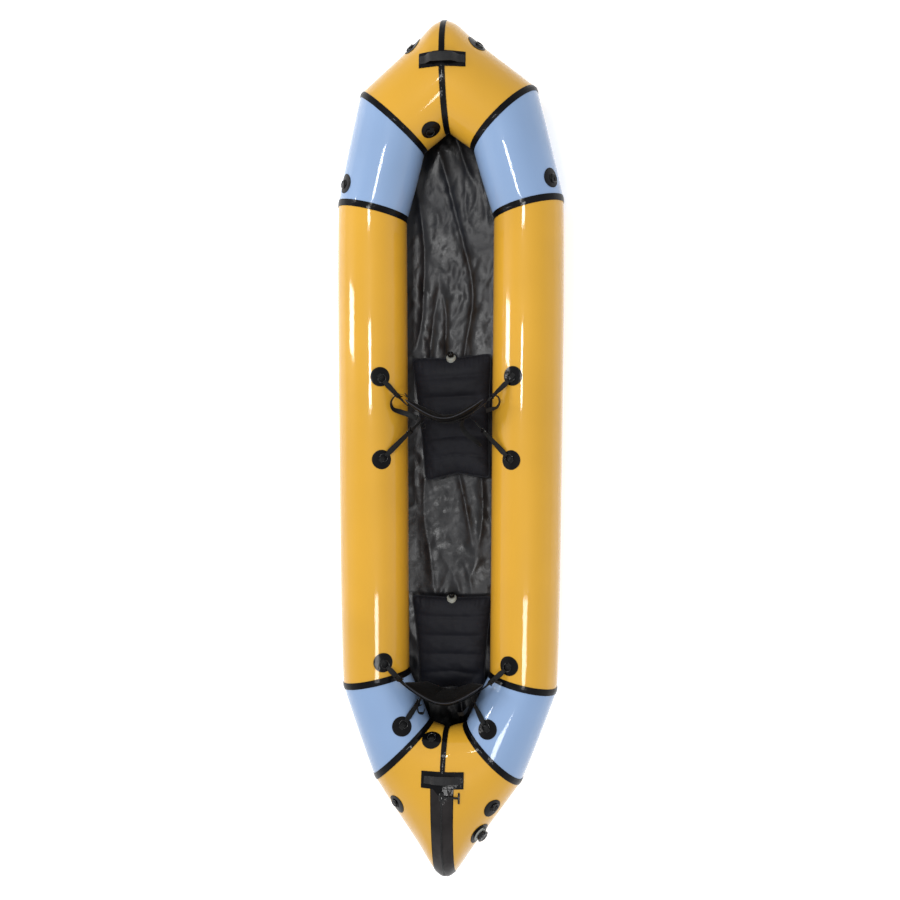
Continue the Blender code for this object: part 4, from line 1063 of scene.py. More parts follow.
def handle(word):
    """A rectangular patch over the centre tape, with an arched webbing grip sewn to it."""
    panel, y, patch_length, patch_width, grip_length, grip_width, arch = HANDLES[word]
    half, half_width = grip_length / 2, grip_width / 2
    top = HANDLE_LIFT + PATCH_THICKNESS

    def at(x, ahead, height):
        return drape(panel, x, y + ahead, height)

    def patch_rule(u, v):
        return at((u - 0.5) * patch_length, (v - 0.5) * patch_width, HANDLE_LIFT)

    patch = shaped_grid(f"{word}_handle_base", 48, 16, patch_rule)
    thicken(patch, UP, PATCH_THICKNESS, 0.6 * MM)
    fit(patch, "hull", "black_fabric", "welded_tape", f"{word}_handle")

    free = half - GRIP_FOOT
    stations = []
    for i in range(GRIP_STEPS + 1):
        x = half * (2 * i / GRIP_STEPS - 1)
        shoulder = clamped((1 - abs(x) / free) * GRIP_SHOULDER_SHARE)
        height = top + GRIP_THICKNESS / 2 + arch * sin(pi / 2 * shoulder) ** 2
        fore, aft = at(x, half_width, height), at(x, -half_width, height)
        stations.append(((fore + aft) / 2, fore - aft, (fore - aft).length))
    grip = ribbon(f"{word}_handle_grip", stations, GRIP_THICKNESS)
    fit(grip, "hull", "webbing", "grip_webbing")

    rows = []
    lift, rim = top + GRIP_THICKNESS, half_width - STITCH_INSET
    for side in (LEFT, RIGHT):
        near, far = side * (free + STITCH_INSET), side * (half - STITCH_INSET)
        lines = [((near, edge), (far, edge), (near, edge)) for edge in (-rim, rim)]
        lines += [((x, -rim), (x, rim), (x, 0)) for x in (near, far)]
        for start, end, spot in lines:
            normal = (at(*spot, 2 * lift) - at(*spot, lift)).normalized()
            rows.append((at(*start, lift), at(*end, lift), normal))
    stitching(f"{word}_handle_stitches", rows, "hull")


class PackraftMakeHandles(bpy.types.Operator):
    """Make the bow and stern carrying handles"""

    bl_idname = "packraft.make_handles"
    bl_label = "Make handles"

    def execute(self, context):
        for word in HANDLES:
            handle(word)
        return {"FINISHED"}


# Seats' places, which the floor's folds share

Cushion = namedtuple("Cushion", "word x y length yaw channels")

CUSHIONS = (
    Cushion("front", 8 * MM, 149 * MM, 492 * MM, radians(3), 6),
    Cushion("rear", 0, -762 * MM, 386 * MM, 0, 5),
)
CUSHION_BASE = 2.4 * MM
CUSHION_THICKNESS = 88 * MM
CUSHION_DRAWN_IN = 6 * MM
CUSHION_FORE_HOLLOW = 8 * MM
CUSHION_FORE_HALF_WIDTH = 160 * MM
CUSHION_AFT_HALF_WIDTH = 128 * MM
CUSHION_NOTCH = 26 * MM
PRESSED_INSET_Y = 30 * MM
PRESSED_INSET_X = 20 * MM
PRESSED_FADE = 35 * MM


# Floor

FLOOR_THICKNESS = 2 * MM
FLOOR_FLAT_HALF_WIDTH = 140 * MM
FLOOR_FLAT_SHARE = 0.6
FLOOR_SEAM_ANGLE = radians(240)
FLOOR_CLEARANCE = 1.85 * MM
FLOOR_SAG = 25 * MM
FLOOR_RUN_SHARES = ((0.1, 1), (0, 1), (0, 1), (0, 1), (0, 0.9))
FLOOR_RUN_STEPS = (14, 20, 170, 22, 18)
FLOOR_COLUMNS = 100
FLOOR_POINT_GAP = 4 * MM

# The floor's long folds and the diagonal ones that fan out of them: share of the height, turn in
# plan, width, length, seed and sharpness
FOLDS = (
    (1, 0.06, 120 * MM, 620 * MM, 0, 3),
    (0.3, 0.6, 75 * MM, 200 * MM, 11, 2),
    (0.3, -0.8, 60 * MM, 150 * MM, 23, 2),
)


def floor_edge():
    """Points of the floor's seam line along the right half of the hull, from stern to bow."""
    runs = (STERN_PANEL, REAR_QUARTER, SIDE_TUBE, FRONT_QUARTER, BOW_PANEL)
    points = []
    for panel, (low, high), steps in zip(runs, FLOOR_RUN_SHARES, FLOOR_RUN_STEPS):
        for i in range(steps + 1):
            share = low + (high - low) * i / steps
            outward = panel.normal(share, FLOOR_SEAM_ANGLE)
            point = panel.point(share, FLOOR_SEAM_ANGLE) + outward * (FLOOR_CLEARANCE + FLOOR_THICKNESS)
            if not points or point.y - points[-1].y > FLOOR_POINT_GAP:
                points.append(point)
    return points


def under_cushion(x, y):
    """1 where a cushion presses the floor flat, 0 away from it."""
    cover = 0
    for seat in CUSHIONS:
        beyond_y = abs(y - seat.y) - (seat.length / 2 - PRESSED_INSET_Y)
        beyond_x = abs(x - seat.x) - (CUSHION_AFT_HALF_WIDTH - PRESSED_INSET_X)
        cover = max(cover, 1 - clamped(max(beyond_x, beyond_y) / PRESSED_FADE))
    return cover


def fold(x, y, turn, width, run, seed):
    """A ridged fold pattern from 0 to 1: sharp crests of a width, drawn out to a length."""
    a, b = x * cos(turn) + y * sin(turn), y * cos(turn) - x * sin(turn)
    bend = 0.6 * noise.noise(Vector((a / width * 0.4, b / run, seed + 3)))
    return max(0, 1 - 2.2 * abs(noise.noise(Vector((a / width + bend, b / run, seed)))))


def fold_height(x, y):
    """Creases of the slack floor, with short ones all over it and none under the cushions."""
    rise = sum(
        share * fold(x, y, turn, width, run, seed) ** sharpness
        for share, turn, width, run, seed, sharpness in FOLDS
    )
    crumple = noise.noise(Vector((x / (26 * MM), y / (30 * MM), 31)))
    return settings("floor").fold_height * (rise + 0.12 * crumple) * (1 - under_cushion(x, y))


class PackraftMakeFloor(bpy.types.Operator):
    """Make the floor sheet between the tubes"""

    bl_idname = "packraft.make_floor"
    bl_label = "Make floor"

    def execute(self, context):
        edge = floor_edge()

        def rule(u, v):
            point = edge[round(v * (len(edge) - 1))]
            share = 2 * u - 1
            x = point.x * share
            ground = max(0, point.z - FLOOR_SAG)
            flat = min(FLOOR_FLAT_HALF_WIDTH, point.x * FLOOR_FLAT_SHARE)
            lift = max(0, (abs(x) - flat) / (point.x - flat))
            slack = max(0, 1 - abs(share) ** 4)
            z = ground + (point.z - ground) * lift**2 + slack * fold_height(x, point.y)
            return Vector((x, point.y, z))

        obj = shaped_grid("floor_sheet", FLOOR_COLUMNS, len(edge) - 1, rule, cloth=(1, 1))
        area = sum(face.area for face in obj.data.polygons)
        thicken(obj, UP, FLOOR_THICKNESS / 2, angle=60)
        fit(obj, "hull", "floor_fabric", "floor_nylon", "floor_panel")
        return {"FINISHED"}


# Lashing points and seat anchors

PATCH_SHARES = (0, 0.35, 0.7, 0.9, 0.975, 1)
RING_HALF_WIDTH = 15 * MM
RING_REACH = 25 * MM
RING_CORNER = 5 * MM
RING_CLEARANCE = 0.35 * MM
CAD_WIRE_RADIUS = 2.2 * MM
BAR_HEIGHT = RING_CLEARANCE + CAD_WIRE_RADIUS
PATCH_TOP = WELD_GAP + PATCH_THICKNESS
KEEPER_THICKNESS = 1.5 * MM
KEEPER_HALF_WIDTH = 9 * MM
KEEPER_FOOT = 10.5 * MM

LASHING_POINTS = {
    "bow_side_left": (BOW_PANEL, 0.64, radians(14), LEFT, (-1, 0, 0)),
    "bow_side_right": (BOW_PANEL, 0.64, radians(14), RIGHT, (1, 0, 0)),
    "bow_deck": (BOW_PANEL, 0.54, radians(138), LEFT, (0, -1, 0)),
    "front_quarter_left": (FRONT_QUARTER, 0.175, radians(38), LEFT, (-1, 0, 0)),
    "front_quarter_right": (FRONT_QUARTER, 0.175, radians(38), RIGHT, (1, 0, 0)),
    "stern_deck": (STERN_PANEL, 0.56, radians(144), LEFT, (0, 1, 0)),
    "stern_side_left": (STERN_PANEL, 0.7, radians(42), LEFT, (-1, 0, 0)),
    "stern_side_right": (STERN_PANEL, 0.7, radians(42), RIGHT, (1, 0, 0)),
}


def patch_disc(name, place, radius, node):
    """A round welded patch that follows the hull, with a rounded rim."""
    last = len(PATCH_SHARES) - 1

    def rule(u, v):
        reach, turn = radius * PATCH_SHARES[round(u * last)], 2 * pi * v
        return place.lay(reach * cos(turn), reach * sin(turn), WELD_GAP)

    obj = shaped_grid(name, last, 48, rule, closed=True)
    thicken(obj, place.normal, PATCH_THICKNESS, 0.6 * MM)
    fit(obj, "hull", "black_fabric", "welded_tape", node)


def keeper_model():
    """The webbing tab over a ring's bar: an arch between two sewn feet, about its own origin."""
    tunnel = CAD_WIRE_RADIUS + RING_CLEARANCE
    foot = [(KEEPER_FOOT, 0), (tunnel * 2.1, 0), (tunnel * 1.35, tunnel * 0.25)]
    turns = [pi * i / 8 for i in range(9)]
    path = [(-y, z) for y, z in foot]
    path += [(-cos(turn) * tunnel, BAR_HEIGHT + sin(turn) * tunnel) for turn in turns]
    path += foot[::-1]

    def rule(u, v):
        return Vector(((2 * v - 1) * KEEPER_HALF_WIDTH, *path[round(u * (len(path) - 1))]))

    cloth = (2 * KEEPER_FOOT, 2 * KEEPER_HALF_WIDTH)
    obj = shaped_grid("keeper_model", len(path) - 1, 6, rule, cloth=cloth)
    thicken(obj, UP, KEEPER_THICKNESS, 0.4 * MM)
    return obj


def ring_model():
    """A D-shaped ring with rounded corners, its straight bar on X about its own origin."""
    inset = RING_HALF_WIDTH - RING_CORNER
    # Each arc's centre, radius, first angle, sweep and steps
    arcs = (
        (-inset, RING_CORNER, RING_CORNER, pi, pi / 2, 4),
        (inset, RING_CORNER, RING_CORNER, 1.5 * pi, pi / 2, 4),
        (0, RING_REACH - RING_HALF_WIDTH, RING_HALF_WIDTH, 0, pi, 16),
    )
    points = []
    for x, y, radius, first, sweep, steps in arcs:
        for i in range(steps + 1):
            turn = first + sweep * i / steps
            points.append(Vector((x + radius * cos(turn), y + radius * sin(turn), 0)))
    return tube_along("ring_model", points, settings("fittings").wire_radius, cyclic=True, sides=12)


def lashing_point(name, place, keeper, ring, node, ring_body, *ring_node):
    """A patch with its keeper and its ring."""
    patch_disc(f"{name}_disc", place, settings("fittings").patch_radius, node)
    tab = copied(keeper, f"{name}_keeper", place.frame(PATCH_TOP))
    fit(tab, "hull", "moulded_black", "strap_webbing")
    loop = copied(ring, f"{name}_loop", place.frame(PATCH_TOP + BAR_HEIGHT))
    fit(loop, ring_body, "moulded_black", "moulded_plastic", *ring_node)


class PackraftMakeLashing(bpy.types.Operator):
    """Make the eight lashing patches with their loose rings"""

    bl_idname = "packraft.make_lashing"
    bl_label = "Make lashing points"

    def execute(self, context):
        keeper, ring = keeper_model(), ring_model()
        for word, spot in LASHING_POINTS.items():
            lashing_point(word, Place(*spot), keeper, ring, f"{word}_patch", f"{word}_ring", f"{word}_ring")
        discard(keeper)
        discard(ring)
        return {"FINISHED"}


# Main valve. Profiles give the radius and the height of a turned piece in mm.

VALVE_SHARE = 0.48
VALVE_ANGLE = radians(28)
VALVE_PATCH_RADIUS = 44 * MM
VALVE_NECK_FOOT = (
    (13, 0.2), (29.5, 0.2), (30, 0.8), (30, 3.5), (29.4, 4.4), (28.5, 4.8), (27, 4.8),
    (26.4, 4), (19.7, 4), (18.1, 4.4), (16.7, 5),
)
VALVE_THREAD = ((16.7, 6.6), (17.5, 7.1), (17.5, 7.7), (16.7, 8.2))
VALVE_THREAD_PITCH = 2.4
VALVE_THREADS = 3
VALVE_NECK_RIM = ((16.7, 13.4), (16.1, 14), (13.6, 14), (13, 13.4), (13, 0.2))
VALVE_CAP = (
    (0, 14.4), (17.9, 14.4), (17.9, 5.4), (19.7, 5.4), (20.5, 6.2), (20.5, 13.9), (20.5, 20.2),
    (19.8, 21.6), (18.3, 22.4), (15.5, 22.4), (14.5, 21.6), (13.5, 20.4), (7, 20), (6, 20.8),
    (3, 21.2), (0, 21.3),
)
VALVE_COLLAR = ((21, 15.9), (24, 16.2), (24, 18.6), (21, 18.9), (21, 15.9))
TETHER_RADIUS = 1.6 * MM
TETHER_FOOT = 26.8 * MM
TETHER_HEAD = 23.7 * MM
TETHER_REACH = 11 * MM
TETHER_START = 3.4 * MM
TETHER_RISE = 14 * MM
TETHER_SWAY = 2.5 * MM
TETHER_STEPS = 24


def valve_leash():
    """The moulded strap that keeps the cap: out of the flange, round in a loop, and back to its
    loose ring round the cap."""
    points = []
    for i in range(TETHER_STEPS + 1):
        share = i / TETHER_STEPS
        reach = TETHER_FOOT + (TETHER_HEAD - TETHER_FOOT) * share + TETHER_REACH * sin(pi * share)
        sway = TETHER_SWAY * sin(2 * pi * share)
        points.append(Vector((sway, reach, TETHER_START + TETHER_RISE * share)))
    tether = tube_along("main_valve_tether", points, TETHER_RADIUS, sides=12)
    return joined("main_valve_leash", [tether, spun("main_valve_collar", VALVE_COLLAR, 64)])


class PackraftMakeValve(bpy.types.Operator):
    """Make the main valve: patch, flange with its threaded neck, lugged screw cap and tether"""

    bl_idname = "packraft.make_valve"
    bl_label = "Make main valve"

    def execute(self, context):
        place = Place(STERN_PANEL, VALVE_SHARE, VALVE_ANGLE, RIGHT, (0, 1, 0))
        patch_disc("main_valve_disc", place, VALVE_PATCH_RADIUS, "main_valve_body")
        threads = [
            (radius, height + VALVE_THREAD_PITCH * turn)
            for turn in range(VALVE_THREADS)
            for radius, height in VALVE_THREAD
        ]
        flange = spun("main_valve_flange", [*VALVE_NECK_FOOT, *threads, *VALVE_NECK_RIM], 64)
        cap = spun("main_valve_screw_cap", VALVE_CAP, 128, lobes=8, lobe_depth=2.2)
        leash = valve_leash()
        for obj in (flange, cap, leash):
            obj.data.transform(place.frame(PATCH_TOP))
        fit(flange, "hull", "valve_plastic", "pale_valve_plastic")
        fit(leash, "hull", "moulded_black", "moulded_plastic")
        fit(cap, "main_valve_cap", "valve_plastic", "moulded_plastic", "main_valve_cap")
        return {"FINISHED"}


# Padded pieces

FRAMES = 20


def roundness(share):
    """Thickness across a padded piece, from 1 in its middle to 0 at its sewn edge."""
    return sqrt(max(0, 1 - abs(share) ** 4))


def square(turn):
    """A point on the rim of the square from -1 to 1, at an angle."""
    a, b = cos(turn), sin(turn)
    size = max(abs(a), abs(b))
    return a / size, b / size


def padded_form(name, columns, rows, point):
    """A closed padded form that starts slightly flat. point(s, t, face) gives either face's place
    at shares across and along it, both from -1 to 1."""

    def rule(u, v):
        turn = 2 * pi * u
        t = 2 * v - 1
        return point(cos(turn), t * (1.5 - 0.5 * t * t), 1 if turn < pi else -1)

    return shaped_grid(name, columns, rows, rule, closed=True)


def inflate(obj, cap, voxel, held):
    """Swell a padded form with a cloth simulation. held(point) tells which points are sewn down,
    and no point moves further than cap."""
    apply_modifier(obj, "REMESH", mode="VOXEL", voxel_size=voxel)
    start = [vertex.co.copy() for vertex in obj.data.vertices]
    sewn = obj.vertex_groups.new(name="sewn")
    sewn.add([i for i, co in enumerate(start) if held(co)], 1, "REPLACE")
    select(obj)
    cloth = obj.modifiers.new("cloth", "CLOTH")
    cloth.settings.use_pressure = True
    cloth.settings.uniform_pressure_force = settings("seats").pressure
    cloth.settings.effector_weights.gravity = 0
    cloth.settings.vertex_group_mass = "sewn"
    cloth.point_cache.frame_end = FRAMES
    for number in range(1, FRAMES + 1):
        bpy.context.scene.frame_set(number)
    bpy.ops.object.modifier_apply(modifier="cloth")
    bpy.context.scene.frame_set(1)
    for vertex, before in zip(obj.data.vertices, start):
        moved = vertex.co - before
        if moved.length > cap:
            vertex.co = before + moved * cap / moved.length
    obj.vertex_groups.clear()
    apply_modifier(obj, "SUBSURF", levels=1, render_levels=1)


def cushion_half_width(t):
    fore = (t + 1) / 2
    return CUSHION_AFT_HALF_WIDTH + (CUSHION_FORE_HALF_WIDTH - CUSHION_AFT_HALF_WIDTH) * fore


def cushion_point(seat, s, t, face, thickness, fullness=1.0):
    """A point of a cushion: wide at its fore end, notched at its aft end, with rounded corners."""
    fore = (t + 1) / 2
    half_width = (cushion_half_width(t) - CUSHION_DRAWN_IN * sin(pi * fore)) * (1 - 0.03 * abs(t) ** 24)
    notch = (1 - abs(s)) * (CUSHION_NOTCH * (1 - fore) ** 2 - CUSHION_FORE_HOLLOW * fore**2)
    along = t * seat.length / 2 * (1 - 0.012 * abs(s) ** 24) + notch
    swell = roundness(s) * roundness(t) * fullness
    up = CUSHION_THICKNESS / 2 + thickness / 2 * face * swell
    turned = Matrix.Rotation(seat.yaw, 4, "Z")
    return turned @ Vector((s * half_width, along, up)) + Vector((seat.x, seat.y, CUSHION_BASE))


def channel(seat, t):
    """How near a place along the cushion is to one of its welded channels, from 0 to 1."""
    return (1 - abs(sin(pi * seat.channels * (t + 1) / 2))) ** 2


def channel_share(seat, t):
    """The same, with none at the cushion's two ends."""
    return channel(seat, t) if abs(t) < 1 - 0.5 / seat.channels else 0


WELD_SAG = 8 * MM
SWELL_LIMIT = 14 * MM
GATHER_PITCH = 14 * MM
GATHER_DEPTH = 3.2 * MM
CRUMPLE_DEPTH = 1.5 * MM


def cushion(seat):
    """An air cushion on the floor: cells swollen between channels welded across it, gathered where
    its cover is sewn to its sides, and flat where it rests."""
    depth = settings("seats").channel_depth
    thin = CUSHION_THICKNESS - WELD_SAG
    back = Matrix.Rotation(-seat.yaw, 4, "Z")

    def local(co):
        spot = back @ (co - Vector((seat.x, seat.y, CUSHION_BASE)))
        t = 2 * spot.y / seat.length
        return spot.x / cushion_half_width(t), t, spot.z - CUSHION_THICKNESS / 2

    def point(s, t, face):
        fullness = 1 - depth / thin * 2 * channel_share(seat, t) if face > 0 else 1
        return cushion_point(seat, s, t, face, thin, fullness)

    def held(co):
        s, t, rise = local(co)
        welded = rise > 0 and channel_share(seat, t) > 0.8 and abs(s) < 0.9
        valve = t > 0.86 and abs(s) < 0.2
        return welded or valve or abs(rise) < 4 * MM

    obj = padded_form(f"{seat.word}_seat_pad", 96, 120, point)
    inflate(obj, SWELL_LIMIT, 5 * MM, held)
    for vertex in obj.data.vertices:
        s, t, rise = local(vertex.co)
        edge = max(abs(s), abs(t) * 0.97)
        along = (t if abs(s) > abs(t) * 0.97 else s) * seat.length / 2
        gather = clamped((edge - 0.72) / 0.2) * clamped(1 - (edge - 0.97) / 0.05)
        seed = seat.channels + (5 if s > 0 else 0)
        wave = noise.noise(Vector((along / GATHER_PITCH, rise / (60 * MM), seed)))
        crumple = noise.noise(Vector((s * 5, t * 8, seat.channels))) * CRUMPLE_DEPTH
        vertex.co.z += (GATHER_DEPTH * gather * wave + crumple) * (1 if rise > 0 else 0)
        vertex.co.z = max(vertex.co.z, CUSHION_BASE)
    smooth(obj, 60)
    fit(obj, "hull", "cushion_fabric", "seat_nylon", f"{seat.word}_seat_cushion")


FLANGE_IN = 4 * MM
FLANGE_OUT = 3 * MM
FLANGE_ROWS = 320
FLANGE_THICKNESS = 1.2 * MM
FLANGE_WAVE = 1.2 * MM


def cushion_flange(seat):
    """The flat welded edge that runs round a cushion at half its height."""

    def edge(turn):
        return cushion_point(seat, *square(turn), 1, 0)

    def rule(u, v):
        turn = 2 * pi * v
        place = edge(turn)
        outward = (edge(turn + 0.02) - edge(turn - 0.02)).cross(UP).normalized()
        wave = FLANGE_WAVE * noise.noise(Vector((place.x * 40, place.y * 40, seat.channels))) * u
        return place + outward * (u * (FLANGE_IN + FLANGE_OUT) - FLANGE_IN) + UP * wave

    obj = shaped_grid(f"{seat.word}_seat_edge", 4, FLANGE_ROWS, rule, closed=True)
    thicken(obj, UP, FLANGE_THICKNESS, angle=60, offset=0)
    fit(obj, "hull", "cushion_fabric", "seat_nylon")


SEAT_VALVE_SHARE = 0.985
SEAT_FLANGE = ((0, -16), (19, -16), (19, 10), (18.2, 11.4), (16.8, 12), (14, 12), (13, 11), (0, 11))
SEAT_KNOB = (
    (0, 12.35), (8.5, 12.35), (9, 12.85), (9, 15.35), (11.2, 15.35), (12, 16.15), (12, 20.35),
    (12, 27.85), (11.2, 29.55), (9.6, 30.35), (5, 30.35), (4.4, 28.75), (0, 28.75),
)


def cushion_top(seat, t):
    """The top of the solid cushion's middle line, where its valve stands."""
    fullness = 1 - 12 * MM / CUSHION_THICKNESS * 2 * channel(seat, t)
    return cushion_point(seat, 0, t, 1, CUSHION_THICKNESS, fullness)


def seat_valve(seat):
    """The twist valve on a cushion's fore end: a pale flange in the cushion, and a ribbed knob."""
    spot = cushion_top(seat, SEAT_VALVE_SHARE)
    slope = spot - cushion_top(seat, SEAT_VALVE_SHARE - SLOPE_STEP)
    tilt = atan2(-slope.z, hypot(slope.x, slope.y))
    place = Matrix.Translation(spot) @ Matrix.Rotation(seat.yaw, 4, "Z") @ Matrix.Rotation(-tilt, 4, "X")
    flange = spun(f"{seat.word}_seat_flange", SEAT_FLANGE, 48)
    knob = spun(f"{seat.word}_seat_knob", SEAT_KNOB, 96, lobes=16, lobe_depth=0.9)
    for obj in (flange, knob):
        obj.data.transform(place)
    fit(flange, "hull", "valve_plastic", "pale_valve_plastic")
    name = f"{seat.word}_seat_valve"
    fit(knob, name, "valve_plastic", "moulded_plastic", name)


class PackraftMakeCushions(bpy.types.Operator):
    """Make the two air cushions with their valves"""

    bl_idname = "packraft.make_cushions"
    bl_label = "Make cushions"

    def execute(self, context):
        for seat in CUSHIONS:
            cushion(seat)
            cushion_flange(seat)
            seat_valve(seat)
        return {"FINISHED"}


# Backrests

BACKREST_Y = {"front": 140 * MM, "rear": -933 * MM}
BACKREST_TOP_HALF_WIDTH = 152 * MM
BACKREST_BOTTOM_HALF_WIDTH = 88 * MM
BACKREST_BOTTOM_Z = 104 * MM
BACKREST_HEIGHT = 222 * MM
BACKREST_THICKNESS = 30 * MM
BACKREST_SWEEP_SHARE = 0.85
BACKREST_SWEEP_RADIUS = 90 * MM
BACKREST_SEAM_SHARE = 0.3
BINDING_RADIUS = 1.7 * MM
RIM_STEPS = 200


def backrest_middle(word, x, z):
    """The backrest's middle at a place seen from ahead, and the way that its front faces there."""
    bent = hypot(x, BACKREST_SWEEP_RADIUS)
    y = BACKREST_Y[word] + BACKREST_SWEEP_SHARE * (bent - BACKREST_SWEEP_RADIUS)
    return Vector((x, y, z)), Vector((-BACKREST_SWEEP_SHARE * x / bent, 1, 0)).normalized()


def backrest_half_width(up):
    return BACKREST_BOTTOM_HALF_WIDTH + (BACKREST_TOP_HALF_WIDTH - BACKREST_BOTTOM_HALF_WIDTH) * up


def backrest_point(word, s, t, rise):
    """A point of a backrest at shares across it and up it, and a distance ahead of its middle."""
    x = s * backrest_half_width((t + 1) / 2) * (1 - 0.04 * abs(t) ** 16)
    z = BACKREST_BOTTOM_Z + BACKREST_HEIGHT * (0.5 + 0.5 * t * (1 - 0.04 * abs(s) ** 16))
    middle, forward = backrest_middle(word, x, z)
    return middle + forward * rise


def seam_share(s):
    """How near a place across the backrest is to one of its two sewn seams, from 0 to 1."""
    return exp(-(((abs(s) - BACKREST_SEAM_SHARE) / 0.035) ** 2))


def backrest(word):
    """A padded band with two seams up it and a bound edge."""
    half = BACKREST_THICKNESS / 2 - 1 * MM

    def point(s, t, face):
        swell = roundness(s) * roundness(t) * (1 - 0.55 * seam_share(s))
        return backrest_point(word, s, t, half * swell * face)

    def held(co):
        middle, forward = backrest_middle(word, co.x, co.z)
        wide = backrest_half_width((co.z - BACKREST_BOTTOM_Z) / BACKREST_HEIGHT)
        return abs((co - middle).dot(forward)) < 2.5 * MM or seam_share(co.x / wide) > 0.8

    obj = padded_form(f"{word}_back_pad", 112, 64, point)
    inflate(obj, 4 * MM, 4 * MM, held)
    smooth(obj, 60)
    body = f"{word}_backrest"
    fit(obj, body, "cushion_fabric", "backrest_nylon", body)
    # The binding round the rim is drawn pale grey, a painted highlight along the rim
    rim = [backrest_point(word, *square(2 * pi * i / RIM_STEPS), 0) for i in range(RIM_STEPS)]
    bound = tube_along(f"{word}_back_binding", rim, BINDING_RADIUS, cyclic=True, sides=10)
    fit(bound, body, "webbing", "edge_binding")


# Straps

# Height and half span of a backrest's two straps where they cross its back
STRAPS = {"fore": (288 * MM, 138 * MM), "aft": (205 * MM, 78 * MM)}
STRAP_BEHIND = 2.1 * MM
STRAP_STEPS = 36
BUCKLE_SHARE = 0.6
FORE_BLEND_SHARE = 0.4
BUNCHED_SHARE = 0.66

# Seat anchors: panel, share along it and angle round it, the same on both sides
SEAT_ANCHORS = {
    "front_seat_fore": (SIDE_TUBE, 0.645, radians(111)),
    "front_seat_aft": (SIDE_TUBE, 0.47, radians(112.5)),
    "rear_seat_fore": (SIDE_TUBE, 0.0395, radians(112.5)),
    "rear_seat_aft": (REAR_QUARTER, 0.3, radians(115)),
}


def strap_line(word, x, z):
    """A point of the strap's middle line where it runs over the back of a backrest."""
    t = 2 * (z - BACKREST_BOTTOM_Z) / BACKREST_HEIGHT - 1
    middle, forward = backrest_middle(word, x, z)
    return middle - forward * (BACKREST_THICKNESS / 2 * roundness(t) + STRAP_BEHIND)


class Leg:
    """The straight run of a strap from an anchor's ring to the pad, which turns from the ring's
    flat to the strap's upright line on the way."""

    def __init__(self, place, pad_end):
        height = PATCH_TOP + BAR_HEIGHT
        self.wire = place.origin + place.normal * height + place.ahead * RING_REACH
        self.run = pad_end - self.wire
        self.travel = self.run.normalized()
        self.start_wide = place.sideways if place.sideways.z > 0 else -place.sideways

    def at(self, share):
        """The point, the width direction and the face direction at a share of the run."""
        wide = self.start_wide.lerp(UP, share)
        wide = (wide - self.travel * wide.dot(self.travel)).normalized()
        return self.wire + self.run * share, wide, self.travel.cross(wide)

    def doubled(self):
        """Stations from the buckle to the ring, round its wire and back to the buckle. The webbing
        is bunched up where it goes round the wire."""
        seats = settings("seats")
        apart = settings("fittings").wire_radius + seats.strap_thickness / 2 + 0.2 * MM
        close = seats.strap_thickness * 0.62
        shares = [BUCKLE_SHARE * (1 - i / 12) for i in range(12)] + [0.012]
        sides = {1: [], -1: []}
        for share in shares:
            middle, wide, face = self.at(share)
            distance = share * self.run.length
            rise = close + (apart - close) * exp(-distance / (9 * MM))
            spread = BUNCHED_SHARE + (1 - BUNCHED_SHARE) * clamped(distance / (20 * MM))
            for way, stations in sides.items():
                stations.append((middle + face * rise * way, wide, seats.strap_width * spread))
        middle, wide, face = self.at(0)
        bunched = seats.strap_width * BUNCHED_SHARE
        turns = [pi * i / 8 for i in range(9)]
        bend = [
            (middle + face * apart * cos(turn) - self.travel * apart * sin(turn), wide, bunched)
            for turn in turns
        ]
        return sides[1] + bend + sides[-1][::-1]

    def single(self):
        """Stations from the buckle to the pad."""
        shares = [BUCKLE_SHARE + (1 - BUCKLE_SHARE) * i / 8 for i in range(8)]
        return [(*self.at(share)[:2], settings("seats").strap_width) for share in shares]

    def buckle_frame(self):
        middle, wide, _ = self.at(BUCKLE_SHARE)
        return axes(wide, self.travel, wide.cross(self.travel), middle)


# The ladder-lock's grid lines, its two windows and its thumb tab, in mm
BUCKLE_X = (-15, -11.8, 11.8, 15)
BUCKLE_Y = (-13, -9.5, -5, -1.5, 3, 6.5, 13)
BUCKLE_WINDOWS = ((-9.5, -5), (-1.5, 3))
BUCKLE_TAB_LIFT = 4.5
BUCKLE_THICKNESS = 3.2 * MM


def buckle_model():
    """A ladder-lock: a flat frame with two windows, a bar between them and a lifted thumb tab."""
    columns, rows = len(BUCKLE_X) - 1, len(BUCKLE_Y) - 1

    def rule(u, v):
        y = BUCKLE_Y[round(v * rows)]
        return Vector((BUCKLE_X[round(u * columns)], y, BUCKLE_TAB_LIFT if y > 10 else 0)) * MM

    obj = shaped_grid("buckle_model", columns, rows, rule)
    bpy.ops.object.mode_set(mode="EDIT")
    bpy.ops.mesh.select_all(action="DESELECT")
    bpy.ops.mesh.select_mode(type="FACE")
    bpy.ops.object.mode_set(mode="OBJECT")
    for face in obj.data.polygons:
        x, y = face.center.x / MM, face.center.y / MM
        face.select = abs(x) < BUCKLE_X[2] and any(low < y < high for low, high in BUCKLE_WINDOWS)
    bpy.ops.object.mode_set(mode="EDIT")
    bpy.ops.mesh.delete(type="FACE")
    bpy.ops.object.mode_set(mode="OBJECT")
    thicken(obj, UP, BUCKLE_THICKNESS, 0.8 * MM, 40, offset=0)
    return obj


